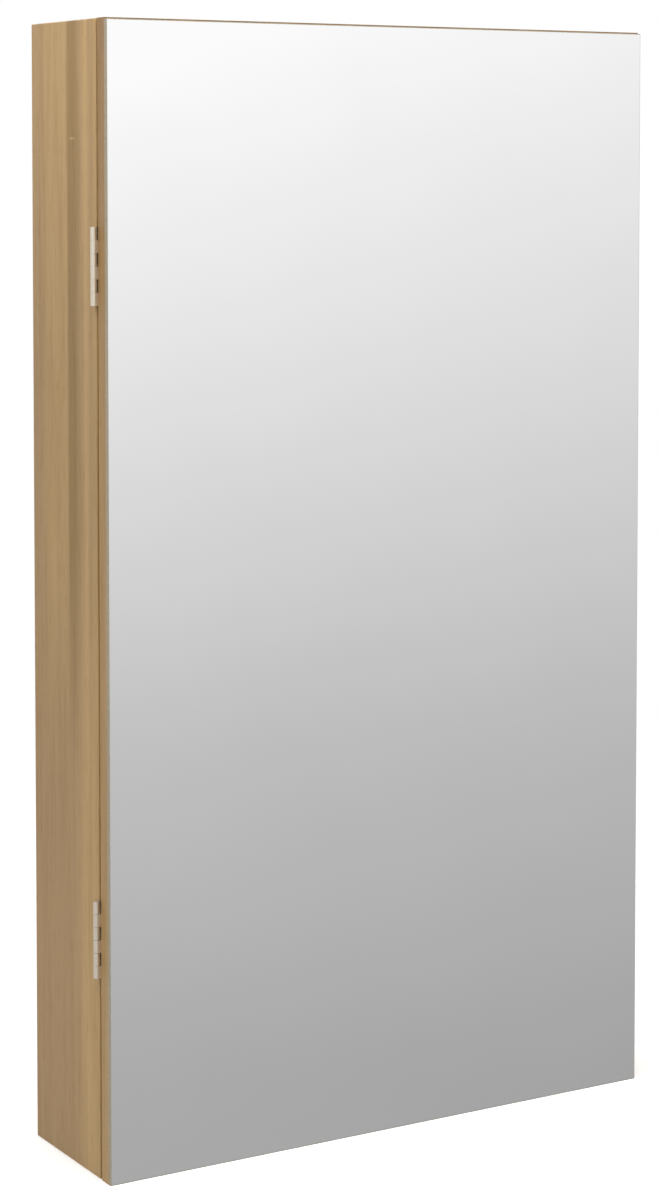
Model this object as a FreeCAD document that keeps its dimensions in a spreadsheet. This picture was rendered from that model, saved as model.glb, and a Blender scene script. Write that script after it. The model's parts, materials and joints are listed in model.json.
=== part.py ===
import FreeCAD, Part

import os
import re

import Sketcher

# A wall-hung jewelry cabinet with a mirror on its whole door, in millimetres.
#
# The origin is midway between the two keyholes that hang on the wall screws, on the wall
# plane.  +X runs to the right as one faces the mirror, -Y comes out of the wall, +Z is up.

# %% Sizes: every length that can be set by itself is written once, here

SIZES = {
    # the outside
    "cab_width": 375,
    "cab_height": 670,
    "case_depth": 86,
    "hanger_drop": 35,
    # boards and door
    "board": 12,
    "board_arris": 0.5,
    "door_board": 9,
    "mirror_thick": 3,
    "mirror_reveal": 0.8,
    "mirror_arris": 0.5,
    # back panel, hanging rail and lining
    "rail_thick": 9,
    "rail_height": 60,
    "back_thick": 3,
    "back_play": 0.1,
    "groove_depth": 4,
    "groove_end_gap": 0.5,
    "lining_thick": 1.5,
    "lining_play": 0.3,
    # dowels of the case corners
    "dowel_dia": 6,
    "dowel_play": 0.05,
    "dowel_in_side": 9,
    "dowel_in_panel": 20,
    "dowel_end_gap": 0.5,
    "dowel_sides": 12,
    "dowel_from_front": 20,
    "dowel_spacing": 34,
    # keyhole plates
    "keyhole_spacing": 300,
    "entry_radius": 5,
    "slot_radius": 2.5,
    "slot_travel": 12,
    "plate_width": 44,
    "plate_height": 30,
    "plate_thick": 1.5,
    "plate_rise": 5,
    "plate_corner": 2,
    "plate_play": 0.1,
    "plate_screw_spread": 32,
    "head_room_radius": 7,
    "head_room_depth": 6,
    "plate_screw_dia": 2.4,
    "plate_screw_head": 4.6,
    "plate_screw_length": 7,
    # hinges
    "hinge_length": 45,
    "hinge_from_end": 141,
    "leaf_width": 10,
    "leaf_thick": 0.9,
    "leaf_corner": 0.7,
    "leaf_play": 0.1,
    "pin_dia": 1.9,
    "pin_play": 0.05,
    "barrel_clear": 0.2,
    "knuckle_count": 6,
    "knuckle_gap": 0.16,
    "roll_end_angle": 24,
    "roll_folds": 10,
    "hinge_screw_dia": 2,
    "hinge_screw_head": 3.6,
    "hinge_screw_spread": 29,
    "case_screw_length": 10,
    "door_screw_length": 7,
    "screw_sides": 12,
    "screw_play": 0.05,
    "screw_rim": 0.05,
    "screw_point": 0.6,
    # shelves
    "necklace_bay": 285,
    "bracelet_bay": 117,
    "shelf_thick": 9,
    "shelf_depth": 50,
    "shelf_dado": 3,
    "shelf_play": 0.1,
    "lip_stand": 16,
    "lip_thick": 5,
    "lip_round": 2,
    "lip_end_gap": 0.2,
    # ring tray and its padded rolls
    "tray_rim": 5,
    "tray_depth": 23,
    "tray_floor": 3,
    "tray_play": 0.5,
    "roll_count": 7,
    "roll_pitch": 12.5,
    "roll_gap": 0.3,
    "roll_stand": 2,
    "roll_draw_in": 1.2,
    # bracelet rod
    "rod_dia": 12,
    "rod_drop": 36,
    "rod_from_lining": 27,
    "rod_play": 0.1,
    "rod_end_gap": 0.3,
    "cup_dia": 22,
    "cup_length": 9,
    "cup_floor": 2,
    "spigot_dia": 8,
    "spigot_length": 7,
    # necklace rail and hooks
    "necklace_rail_drop": 30,
    "necklace_rail_height": 20,
    "necklace_rail_thick": 12,
    "rail_round": 2,
    "necklace_hook_count": 10,
    "necklace_hook_pitch": 32,
    "necklace_hook_wire": 2.2,
    "necklace_hook_embed": 8,
    "necklace_hook_straight": 6,
    "necklace_hook_bend": 6,
    "necklace_hook_tip": 3,
    "hook_ball": 3.8,
    "hook_sides": 8,
    "hook_bend_steps": 3,
    "hook_play": 0.05,
    "hook_bore_gap": 0.5,
    # catch and stops
    "catch_from_end": 62,
    "magnet_dia": 8,
    "magnet_length": 6,
    "magnet_play": 0.05,
    "magnet_proud": 0.3,
    "strike_dia": 11,
    "strike_gap": 0.5,
    "bumper_from_end": 22,
    "bumper_dia": 8,
    "bumper_gap": 0.2,
    "bumper_bevel": 0.8,
    # earring panel on the door
    "earring_drop": 42,
    "earring_width": 300,
    "earring_height": 180,
    "earring_rail": 12,
    "earring_depth": 10,
    "earring_rebate": 4,
    "earring_thick": 2,
    "earring_play": 0.1,
    "earring_round": 1.5,
    "earring_columns": 13,
    "earring_rows": 6,
    "earring_pitch_across": 20,
    "earring_pitch_down": 24,
    "earring_slot_width": 1.6,
    "earring_slot_height": 10,
    # hook strip on the door
    "strip_drop": 262,
    "strip_width": 300,
    "strip_height": 18,
    "strip_thick": 8,
    "door_hook_count": 8,
    "door_hook_pitch": 36,
    "door_hook_wire": 2,
    "door_hook_embed": 5,
    "door_hook_straight": 3,
    "door_hook_bend": 4,
    "door_hook_tip": 2,
}

# Places that follow from the sizes.  A place may use the places above it.

PLACES = {
    "side_out": "cab_width / 2",
    "side_in": "side_out - board",
    "top": "hanger_drop",
    "bottom": "top - cab_height",
    "top_in": "top - board",
    "bottom_in": "bottom + board",
    "case_front": "-case_depth",
    # back to front inside the case
    "back_rear": "-rail_thick",
    "back_front": "back_rear - back_thick",
    "lining_front": "back_front - lining_thick",
    "shelf_front": "lining_front - shelf_depth",
    # the seam is as wide as the hinge's bore, so that each leaf lies flush in its board
    "bore_radius": "pin_dia / 2 + pin_play",
    "knuckle_radius": "bore_radius + leaf_thick",
    "seam": "2 * bore_radius",
    "door_back": "case_front - seam",
    "door_front": "door_back - door_board",
    "mirror_front": "door_front - mirror_thick",
    # the hinge's axis, and its leaves measured from that axis
    "pin_x": "-(side_out + barrel_clear + knuckle_radius)",
    "pin_y": "case_front - bore_radius",
    "upper_hinge": "top - hinge_from_end",
    "lower_hinge": "bottom + hinge_from_end",
    "leaf_inner": "knuckle_radius + knuckle_gap",
    "leaf_outer": "knuckle_radius + barrel_clear + leaf_width",
    "leaf_screw_line": "(leaf_inner + leaf_outer) / 2",
    "leaf_edge": "-side_out + leaf_width",
    "hinge_screw_x": "pin_x + leaf_screw_line",
    "knuckle_length": "hinge_length / knuckle_count",
    # bays from the top down
    "tray_height": "roll_count * roll_pitch + roll_gap + 2 * tray_rim",
    "ring_shelf_top": "top_in - necklace_bay",
    "ring_shelf_low": "ring_shelf_top - shelf_thick",
    "upper_shelf_top": "ring_shelf_low - tray_height - tray_play",
    "upper_shelf_low": "upper_shelf_top - shelf_thick",
    "lower_shelf_top": "upper_shelf_low - bracelet_bay",
    "lower_shelf_low": "lower_shelf_top - shelf_thick",
    # fittings
    "dowel_front_y": "case_front + dowel_from_front",
    "bottom_board_middle": "bottom + board / 2",
    "side_middle": "side_out - board / 2",
    "tray_front": "lining_front - tray_depth",
    "tray_floor_front": "lining_front - tray_floor",
    "tray_half": "side_in - tray_play",
    "roll_half": "tray_half - tray_rim - roll_gap",
    "roll_front": "tray_front - roll_stand",
    "roll_height": "roll_pitch - roll_gap",
    "rod_y": "lining_front - rod_from_lining",
    "rod_z": "upper_shelf_low - rod_drop",
    "necklace_rail_z": "top_in - necklace_rail_drop",
    "necklace_rail_front": "lining_front - necklace_rail_thick",
    "upper_catch": "top - catch_from_end",
    "lower_catch": "bottom + catch_from_end",
    "strike_thick": "seam - magnet_proud - strike_gap",
    "bumper_thick": "seam - bumper_gap",
    "earring_top": "top - earring_drop",
    "earring_low": "earring_top - earring_height",
    "earring_middle": "(earring_top + earring_low) / 2",
    "earring_front": "door_back + earring_depth",
    "earring_seat": "earring_front - earring_thick",
    "strip_z": "top - strip_drop",
    "strip_front": "door_back + strip_thick",
}

document = FreeCAD.newDocument("jewelry_cabinet")
sheet = document.addObject("Spreadsheet::Sheet", "sizes")
for row, (alias, number) in enumerate(SIZES.items(), 1):
    sheet.set(f"A{row}", alias)
    sheet.set(f"B{row}", str(number))
    sheet.setAlias(f"B{row}", alias)
document.recompute()

pieces = []


# %% Helpers: formulas, sketches and features

def formula(text):
    """Spell out a place or size in the sheet's own cells."""
    def spell(match):
        word = match.group(0)
        if word in PLACES:
            return f"({formula(PLACES[word])})"
        if word in SIZES:
            return f"sizes.{word}"
        return word
    return re.sub(r"[a-z_]+", spell, text)


def value(text):
    """The number that a formula gives now."""
    return float(sheet.evalExpression(formula(text)))


def new_body(label, x="0", y="0", z="0"):
    """A body of its own for one piece, placed in the cabinet's frame."""
    body = document.addObject("PartDesign::Body", label)
    body.Label = label
    body.AllowCompound = True
    for axis, text in (("x", x), ("y", y), ("z", z)):
        body.setExpression(f"Placement.Base.{axis}", formula(text))
    pieces.append(body)
    return body


def new_sketch(body, plane, name, at="0"):
    """A sketch on one of the body's own origin planes, or beside it at a place along its axis."""
    sketch = body.newObject("Sketcher::SketchObject", name)
    origin_plane = next(part for part in body.Origin.OriginFeatures if part.Role == f"{plane}_Plane")
    sketch.AttachmentSupport = [(origin_plane, "")]
    sketch.MapMode = "FlatFace"
    sign = "-" if plane == "XZ" else ""
    sketch.setExpression("AttachmentOffset.Base.z", formula(f"{sign}({at})"))
    return sketch


def faces_up_axis(sketch):
    """Whether the sketch's normal runs the way of its axis; on XZ it runs against Y."""
    return sketch.AttachmentSupport[0][0].Role != "XZ_Plane"


def fix(sketch, kind, geometry, point, text):
    """Hold one coordinate of a point, or a radius, at a formula."""
    number = value(text)
    if kind == "Radius":
        constraint = Sketcher.Constraint(kind, geometry, number)
    else:
        constraint = Sketcher.Constraint(kind, geometry, point, number)
    index = sketch.addConstraint(constraint)
    sketch.setExpression(f"Constraints[{index}]", formula(text))


def draw(sketch, path, closed=True):
    """Draw lines and arcs through corners.

    A step (x, y) is a line to that corner.  A step (x, y, centre_x, centre_y, turn) is an
    arc to it, where turn is "left" for counter-clockwise and "right" for clockwise.
    """
    corners = [FreeCAD.Vector(value(step[0]), value(step[1]), 0) for step in path]
    joints = []
    first_step = 0 if closed else 1
    for number in range(first_step, len(path)):
        step = path[number]
        start = corners[number - 1]
        end = corners[number]
        if len(step) == 2:
            geometry = sketch.addGeometry(Part.LineSegment(start, end))
            entry, leave = 1, 2
        else:
            centre = FreeCAD.Vector(value(step[2]), value(step[3]), 0)
            circle = Part.Circle(centre, FreeCAD.Vector(0, 0, 1), (start - centre).Length)
            ends = [circle.parameter(start), circle.parameter(end)]
            entry, leave = 1, 2
            if step[4] == "right":
                ends.reverse()
                entry, leave = 2, 1
            geometry = sketch.addGeometry(Part.ArcOfCircle(circle, ends[0], ends[1]))
            chord = end - start
            if abs(chord.x) > abs(chord.y):
                fix(sketch, "DistanceY", geometry, 3, step[3])
            else:
                fix(sketch, "DistanceX", geometry, 3, step[2])
        fix(sketch, "DistanceX", geometry, leave, step[0])
        fix(sketch, "DistanceY", geometry, leave, step[1])
        joints.append((geometry, entry, leave))
    if not closed:
        geometry, entry, leave = joints[0]
        fix(sketch, "DistanceX", geometry, entry, path[0][0])
        fix(sketch, "DistanceY", geometry, entry, path[0][1])
    for number in range(first_step, len(joints)):
        before, _, leave = joints[number - 1]
        after, entry, _ = joints[number]
        sketch.addConstraint(Sketcher.Constraint("Coincident", before, leave, after, entry))


def rectangle(sketch, left, low, right, high):
    """Draw a rectangle between two corners."""
    draw(sketch, [(left, low), (right, low), (right, high), (left, high)])


def upright_slot(sketch, middle, low, high, radius):
    """Draw a slot with round ends whose end centres are low and high."""
    left = f"{middle} - {radius}"
    right = f"{middle} + {radius}"
    draw(sketch, [
        (left, low),
        (right, low, middle, low, "left"),
        (right, high),
        (left, high, middle, high, "left"),
    ])


def circle(sketch, x, y, radius):
    """Draw a circle."""
    centre = FreeCAD.Vector(value(x), value(y), 0)
    geometry = sketch.addGeometry(Part.Circle(centre, FreeCAD.Vector(0, 0, 1), value(radius)))
    fix(sketch, "DistanceX", geometry, 3, x)
    fix(sketch, "DistanceY", geometry, 3, y)
    fix(sketch, "Radius", geometry, 0, radius)


def many_sided(sketch, x, y, radius, sides):
    """Draw a circle of small hardware as a regular outline with its corners on the radius."""
    turn = 360 / sides
    draw(sketch, [
        (f"{x} + ({radius}) * cos({turn * corner:g} deg)", f"{y} + ({radius}) * sin({turn * corner:g} deg)")
        for corner in range(sides)
    ])


def pad(body, sketch, length, way):
    """Raise a sketch along (way = 1) or against (way = -1) its axis."""
    feature = body.newObject("PartDesign::Pad", f"{sketch.Name}_pad")
    feature.Profile = sketch
    feature.setExpression("Length", formula(length))
    feature.Reversed = (way > 0) != faces_up_axis(sketch)
    document.recompute()
    return feature


def check_cut(body, feature, before):
    """Stop if a cut took nothing away, as one that points out of its piece does."""
    if body.Shape.Volume > before - 0.01:
        raise RuntimeError(f"{body.Label}: {feature.Label} cuts nothing")


def pocket(body, sketch, depth, way):
    """Cut a sketch along (way = 1) or against (way = -1) its axis."""
    before = body.Shape.Volume
    feature = body.newObject("PartDesign::Pocket", f"{sketch.Name}_pocket")
    feature.Profile = sketch
    feature.setExpression("Length", formula(depth))
    feature.Reversed = (way > 0) == faces_up_axis(sketch)
    document.recompute()
    check_cut(body, feature, before)
    return feature


def bore(body, plane, name, at, x, y, radius, depth, way, sides):
    """A blind bore for a many-sided bar of small hardware."""
    mouth = new_sketch(body, plane, name, at)
    many_sided(mouth, x, y, radius, sides)
    return pocket(body, mouth, depth, way)


def loft(body, name, sections):
    """Join sketches of one outline by straight sides."""
    feature = body.newObject("PartDesign::AdditiveLoft", name)
    feature.Profile = sections[0]
    feature.Sections = sections[1:]
    feature.Ruled = True
    document.recompute()
    return feature


def revolve(body, sketch, axis):
    """Turn a sketch once round one of its own axes, H_Axis or V_Axis."""
    feature = body.newObject("PartDesign::Revolution", f"{sketch.Name}_turned")
    feature.Profile = sketch
    feature.ReferenceAxis = (sketch, [axis])
    feature.Angle = 360
    document.recompute()
    return feature


def repeat(body, features, axis, pitch, count, second=None):
    """Repeat features along X, Y or Z, and along a second (axis, pitch, count) too."""
    feature = body.newObject("PartDesign::LinearPattern", f"{features[0].Name}_row")
    feature.Originals = features
    rows = [("", axis, pitch, count)]
    if second:
        rows.append(("2", *second))
    for suffix, letter, step, number in rows:
        line = next(part for part in body.Origin.OriginFeatures if part.Role == f"{letter}_Axis")
        setattr(feature, f"Direction{suffix}", (line, [""]))
        feature.setExpression(f"Length{suffix}", formula(f"({step}) * (({number}) - 1)"))
        feature.setExpression(f"Occurrences{suffix}", formula(number))
    body.Tip = feature
    document.recompute()
    return feature


def edges_at(feature, **planes):
    """Names of the edges that lie in every one of the planes, such as x="side_out"."""
    places = {axis: value(text) for axis, text in planes.items()}
    names = []
    for number, edge in enumerate(feature.Shape.Edges, 1):
        points = [vertex.Point for vertex in edge.Vertexes]
        far = [abs(getattr(point, axis) - place) for point in points for axis, place in places.items()]
        if max(far) < 1e-6:
            names.append(f"Edge{number}")
    return names


def soften(body, feature, edges, size, kind="Fillet"):
    """Round or chamfer edges of a feature."""
    softened = body.newObject(f"PartDesign::{kind}", f"{feature.Name}_{kind.lower()}")
    softened.Base = (feature, edges)
    softened.setExpression("Radius" if kind == "Fillet" else "Size", formula(size))
    body.Tip = softened
    document.recompute()
    return softened


def rim_edges(feature, face, x, z, radius):
    """Names of the edges round a hole's mouth in the plane y = face."""
    middle = FreeCAD.Vector(value(x), value(face), value(z))
    reach = value(radius) + 0.01
    names = []
    for number, edge in enumerate(feature.Shape.Edges, 1):
        if max(vertex.Point.distanceToPoint(middle) for vertex in edge.Vertexes) < reach:
            names.append(f"Edge{number}")
    return names


def countersunk_holes(body, face, thick, places, bore_dia, head_dia, way):
    """Holes through a plate along Y, countersunk at its face for the screws' heads."""
    radius = f"{bore_dia} / 2 + screw_play"
    mouths = new_sketch(body, "XZ", f"{body.Name}_holes", face)
    for x, z in places:
        many_sided(mouths, x, z, radius, int(value("screw_sides")))
    holes = pocket(body, mouths, thick, way)
    rims = [name for x, z in places for name in rim_edges(holes, face, x, z, radius)]
    soften(body, holes, rims, f"({head_dia} - {bore_dia}) / 2", "Chamfer")


# %% Case boards

def side_board(label, side):
    """An upright board: -1 is the left one, which carries the hinges, 1 is the right one."""
    body = new_body(label)
    inner = f"{side} * side_in"
    outer = f"{side} * side_out"
    outline = new_sketch(body, "XZ", f"{label}_outline")
    rectangle(outline, inner, "bottom", outer, "top")
    board = pad(body, outline, "case_depth", -1)
    soften(body, board, edges_at(board, x=outer), "board_arris", "Chamfer")

    groove = new_sketch(body, "YZ", f"{label}_groove", inner)
    rectangle(groove, "back_front - back_play", "bottom_in - groove_depth",
              "back_rear + back_play", "top_in + groove_depth")
    pocket(body, groove, "groove_depth", side)

    dados = new_sketch(body, "YZ", f"{label}_dados", inner)
    for shelf in ("ring_shelf", "upper_shelf", "lower_shelf"):
        rectangle(dados, "shelf_front", f"{shelf}_low - shelf_play",
                  "back_front - back_play", f"{shelf}_top + shelf_play")
    pocket(body, dados, "shelf_dado", side)

    sides = int(value("dowel_sides"))
    bore(body, "YZ", f"{label}_spigot_bore", inner, "rod_y", "rod_z",
         "spigot_dia / 2 + dowel_play", "spigot_length + dowel_end_gap", side, sides)
    hole = bore(body, "YZ", f"{label}_dowel_bore", inner, "dowel_front_y", "bottom_board_middle",
                "dowel_dia / 2 + dowel_play", "dowel_in_side", side, sides)
    repeat(body, [hole], "Y", "dowel_spacing", "2", ("Z", "cab_height - board", "2"))
    return body


def left_side():
    """The hinge side: its front edge is let in for the leaves and bored for their screws."""
    body = side_board("left_side", -1)
    recess = new_sketch(body, "XZ", "leaf_recess", "case_front")
    for hinge in ("upper_hinge", "lower_hinge"):
        half = "hinge_length / 2 + leaf_play"
        rectangle(recess, "-side_out - leaf_play", f"{hinge} - ({half})",
                  "leaf_edge + leaf_play", f"{hinge} + ({half})")
    pocket(body, recess, "leaf_thick", 1)
    hinge_screw_bores(body, "case_front", "case_screw_length", 1)


def hinge_screw_bores(body, face, length, way):
    """Bores for the screws of both hinges in one board."""
    hole = bore(body, "XZ", f"{body.Name}_screw_bore", face, "hinge_screw_x",
                "lower_hinge - hinge_screw_spread / 2", "hinge_screw_dia / 2 + screw_play",
                f"{length} + screw_play", way, int(value("screw_sides")))
    repeat(body, [hole], "Z", "hinge_screw_spread", "2", ("Z", "upper_hinge - lower_hinge", "2"))


def right_side():
    """The free side: its front edge is bored for the two catch magnets."""
    body = side_board("right_side", 1)
    bores = new_sketch(body, "XZ", "magnet_bores", "case_front")
    for height in ("upper_catch", "lower_catch"):
        circle(bores, "side_middle", height, "magnet_dia / 2 + magnet_play")
    pocket(body, bores, "magnet_length - magnet_proud", 1)


def flat_board(label, low, high, inner_face, up):
    """The top or bottom board, between the sides; up = 1 when its inner face looks down."""
    body = new_body(label)
    outline = new_sketch(body, "XZ", f"{label}_outline")
    rectangle(outline, "-side_in", low, "side_in", high)
    board = pad(body, outline, "case_depth", -1)
    outer_face = high if up > 0 else low
    soften(body, board, edges_at(board, z=outer_face, y="case_front"), "board_arris", "Chamfer")

    groove = new_sketch(body, "XY", f"{label}_groove", inner_face)
    rectangle(groove, "-side_in", "back_front - back_play", "side_in", "back_rear + back_play")
    pocket(body, groove, "groove_depth", up)

    for side in (-1, 1):
        hole = bore(body, "YZ", f"{label}_bore_{side + 1}", f"{side} * side_in", "dowel_front_y",
                    f"({low} + {high}) / 2", "dowel_dia / 2 + dowel_play", "dowel_in_panel",
                    -side, int(value("dowel_sides")))
        repeat(body, [hole], "Y", "dowel_spacing", "2")


def corner_dowels():
    """Eight beech dowels, two in each corner of the case."""
    body = new_body("corner_dowels")
    ends = new_sketch(body, "YZ", "dowel_ends", "-side_in - dowel_in_side + dowel_end_gap")
    for y in ("dowel_front_y", "dowel_front_y + dowel_spacing"):
        for z in ("bottom_board_middle", "bottom_board_middle + cab_height - board"):
            many_sided(ends, y, z, "dowel_dia / 2", int(value("dowel_sides")))
    dowels = pad(body, ends, "dowel_in_side + dowel_in_panel - 2 * dowel_end_gap", 1)
    repeat(body, [dowels], "X", "2 * side_in + dowel_in_side - dowel_in_panel", "2")


# %% Back: panel, hanging rail, keyhole plates and lining

def back_panel():
    """Hardboard back in its grooves."""
    panel = document.addObject("Part::Box", "back_panel")
    reach = "groove_depth - groove_end_gap"
    panel.setExpression("Length", formula(f"2 * (side_in + {reach})"))
    panel.setExpression("Width", formula("back_thick"))
    panel.setExpression("Height", formula(f"top_in - bottom_in + 2 * ({reach})"))
    panel.setExpression("Placement.Base.x", formula(f"-(side_in + {reach})"))
    panel.setExpression("Placement.Base.y", formula("back_front"))
    panel.setExpression("Placement.Base.z", formula(f"bottom_in - ({reach})"))
    pieces.append(panel)


def hanging_rail():
    """The rail that carries the cabinet, with room for a screw head behind each plate."""
    body = new_body("hanging_rail")
    outline = new_sketch(body, "XZ", "rail_outline")
    rectangle(outline, "-side_in", "top_in - rail_height", "side_in", "top_in")
    pad(body, outline, "rail_thick", -1)
    middle = "-keyhole_spacing / 2"
    seat_outline = new_sketch(body, "XZ", "plate_seat")
    rectangle(seat_outline, f"{middle} - plate_width / 2 - plate_play",
              "plate_rise - plate_height / 2 - plate_play",
              f"{middle} + plate_width / 2 + plate_play",
              "plate_rise + plate_height / 2 + plate_play")
    seat = pocket(body, seat_outline, "plate_thick", -1)
    head_outline = new_sketch(body, "XZ", "head_room", "-plate_thick")
    upright_slot(head_outline, middle, "0", "slot_travel", "head_room_radius")
    head_room = pocket(body, head_outline, "head_room_depth", -1)
    repeat(body, [seat, head_room], "X", "keyhole_spacing", "2")
    hole = bore(body, "XZ", "plate_screw_bore", "-plate_thick", f"{middle} - plate_screw_spread / 2",
                "plate_rise", "plate_screw_dia / 2 + screw_play",
                "plate_screw_length - plate_thick + screw_play", -1, int(value("screw_sides")))
    repeat(body, [hole], "X", "plate_screw_spread", "2", ("X", "keyhole_spacing", "2"))


def keyhole_plate(label, side):
    """A steel plate let in flush: the head goes in below and slides up the slot."""
    body = new_body(label, x=f"{side} * keyhole_spacing / 2")
    outline = new_sketch(body, "XZ", f"{label}_outline")
    left, right = "-plate_width / 2", "plate_width / 2"
    low, high = "plate_rise - plate_height / 2", "plate_rise + plate_height / 2"
    rectangle(outline, left, low, right, high)
    plate = pad(body, outline, "plate_thick", -1)
    corners = [name for x in (left, right) for z in (low, high) for name in edges_at(plate, x=x, z=z)]
    soften(body, plate, corners, "plate_corner", "Chamfer")
    slot = new_sketch(body, "XZ", f"{label}_slot")
    upright_slot(slot, "0", "0", "slot_travel", "slot_radius")
    pocket(body, slot, "plate_thick", -1)
    entry = new_sketch(body, "XZ", f"{label}_entry")
    circle(entry, "0", "0", "entry_radius")
    pocket(body, entry, "plate_thick", -1)
    places = [(f"{way} * plate_screw_spread / 2", "plate_rise") for way in (-1, 1)]
    countersunk_holes(body, "0", "plate_thick", places, "plate_screw_dia", "plate_screw_head", -1)


def wood_screws(body, places, diameter, head, length, way):
    """Countersunk wood screws along Y, their heads flush with y = 0."""
    sides = int(value("screw_sides"))
    cone = f"({head} - {diameter}) / 2"
    tops = new_sketch(body, "XZ", f"{body.Name}_heads")
    shanks = new_sketch(body, "XZ", f"{body.Name}_shanks")
    for x, z in places:
        many_sided(tops, x, z, f"{head} / 2", sides)
        many_sided(shanks, x, z, f"{diameter} / 2", sides)
    heads = pad(body, tops, f"{cone} + screw_rim", way)
    soften(body, heads, edges_at(heads, y=f"{way} * ({cone} + screw_rim)"), cone, "Chamfer")
    screws = pad(body, shanks, length, way)
    soften(body, screws, edges_at(screws, y=f"{way} * ({length})"), "screw_point", "Chamfer")


def keyhole_screws():
    """Four screws, two in each keyhole plate."""
    body = new_body("keyhole_screws", z="plate_rise")
    places = [
        (f"{side} * keyhole_spacing / 2 + {end} * plate_screw_spread / 2", "0")
        for side in (-1, 1) for end in (-1, 1)
    ]
    wood_screws(body, places, "plate_screw_dia", "plate_screw_head", "plate_screw_length", -1)


def back_lining():
    """Velvet-covered card over the whole back, behind the shelves."""
    card = document.addObject("Part::Box", "back_lining")
    card.setExpression("Length", formula("2 * (side_in - lining_play)"))
    card.setExpression("Width", formula("lining_thick"))
    card.setExpression("Height", formula("top_in - bottom_in - 2 * lining_play"))
    card.setExpression("Placement.Base.x", formula("-(side_in - lining_play)"))
    card.setExpression("Placement.Base.y", formula("lining_front"))
    card.setExpression("Placement.Base.z", formula("bottom_in + lining_play"))
    pieces.append(card)


# %% Hinges: two leaves with rolled knuckles round a pin

def hinge_leaf(label, height, board_way, first_knuckle):
    """One leaf about its pin.

    board_way = 1 is the case's leaf and -1 the door's.  first_knuckle is the lowest knuckle
    place it fills, and the other leaf fills those between.  Each knuckle is one strip of the
    leaf, folded in short steps round the pin until its end nearly meets the leaf again.
    """
    body = new_body(label, "pin_x", "pin_y", height)
    near, far = f"{board_way} * bore_radius", f"{board_way} * knuckle_radius"
    plate = new_sketch(body, "XY", f"{label}_plate", "-hinge_length / 2")
    rectangle(plate, "leaf_inner", near, "leaf_outer", far)
    leaf = pad(body, plate, "hinge_length", 1)
    corners = edges_at(leaf, x="leaf_outer", z="-hinge_length / 2")
    corners += edges_at(leaf, x="leaf_outer", z="hinge_length / 2")
    soften(body, leaf, corners, "leaf_corner", "Chamfer")

    turn = "left" if board_way > 0 else "right"
    end_x, end_y = "cos(roll_end_angle * 1 deg)", f"{board_way} * sin(roll_end_angle * 1 deg)"
    path = [
        ("leaf_screw_line", far),
        ("0", far),
        (f"knuckle_radius * {end_x}", f"knuckle_radius * {end_y}", "0", "0", turn),
        (f"bore_radius * {end_x}", f"bore_radius * {end_y}"),
    ]
    folds = int(value("roll_folds"))
    fold = f"((270 + roll_end_angle) / {folds} * 1 deg)"
    for step in reversed(range(folds)):
        angle = f"(90 deg + {step + 0.5} * {fold})"
        path.append((f"bore_radius / cos({fold} / 2) * cos({angle})",
                     f"{board_way} * bore_radius / cos({fold} / 2) * sin({angle})"))
    path.append(("leaf_screw_line", near))
    start = f"-hinge_length / 2 + {first_knuckle} * knuckle_length + knuckle_gap / 2"
    roll = new_sketch(body, "XY", f"{label}_roll", start)
    draw(roll, path)
    knuckle = pad(body, roll, "knuckle_length - knuckle_gap", 1)
    repeat(body, [knuckle], "Z", "2 * knuckle_length", "knuckle_count / 2")

    places = [("leaf_screw_line", f"{way} * hinge_screw_spread / 2") for way in (-1, 1)]
    countersunk_holes(body, near, "leaf_thick", places, "hinge_screw_dia", "hinge_screw_head", board_way)


def hinge_pin(label, height):
    """A plain pin as long as the hinge."""
    body = new_body(label, "pin_x", "pin_y", height)
    end = new_sketch(body, "XY", f"{label}_end", "-hinge_length / 2")
    circle(end, "0", "0", "pin_dia / 2")
    pad(body, end, "hinge_length", 1)


def hinge_screws(label, face, length, way):
    """Four screws, two in each hinge's leaf on one board."""
    body = new_body(label, "hinge_screw_x", face)
    places = [
        ("0", f"{hinge} + {end} * hinge_screw_spread / 2")
        for hinge in ("lower_hinge", "upper_hinge") for end in (-1, 1)
    ]
    wood_screws(body, places, "hinge_screw_dia", "hinge_screw_head", length, way)


# %% Shelves, lips and the ring tray

def shelf(label):
    """A shelf held in the sides' dados, from the lining to its front edge."""
    body = new_body(label)
    outline = new_sketch(body, "XY", f"{label}_outline", f"{label}_low")
    half = "side_in + shelf_dado - shelf_play"
    rectangle(outline, f"-({half})", "shelf_front", half, "lining_front")
    pad(body, outline, "shelf_thick", 1)


def shelf_lip(label, low, high):
    """A strip glued along a shelf's front, so that nothing rolls off; its top edge is rounded."""
    body = new_body(label)
    outline = new_sketch(body, "XZ", f"{label}_outline", "shelf_front")
    half = "side_in - lip_end_gap"
    rectangle(outline, f"-({half})", low, half, high)
    strip = pad(body, outline, "lip_thick", -1)
    rounded = edges_at(strip, z=high, y="shelf_front")
    rounded += edges_at(strip, z=high, y="shelf_front - lip_thick")
    soften(body, strip, rounded, "lip_round")


def ring_tray():
    """A shallow tray that stands on the upper shelf and holds the ring rolls."""
    body = new_body("ring_tray", z="upper_shelf_top")
    outline = new_sketch(body, "XZ", "tray_outline", "lining_front")
    rectangle(outline, "-tray_half", "0", "tray_half", "tray_height")
    pad(body, outline, "tray_depth", -1)
    inside = new_sketch(body, "XZ", "tray_inside", "tray_front")
    rectangle(inside, "-(tray_half - tray_rim)", "tray_rim",
              "tray_half - tray_rim", "tray_height - tray_rim")
    pocket(body, inside, "tray_depth - tray_floor", 1)


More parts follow.
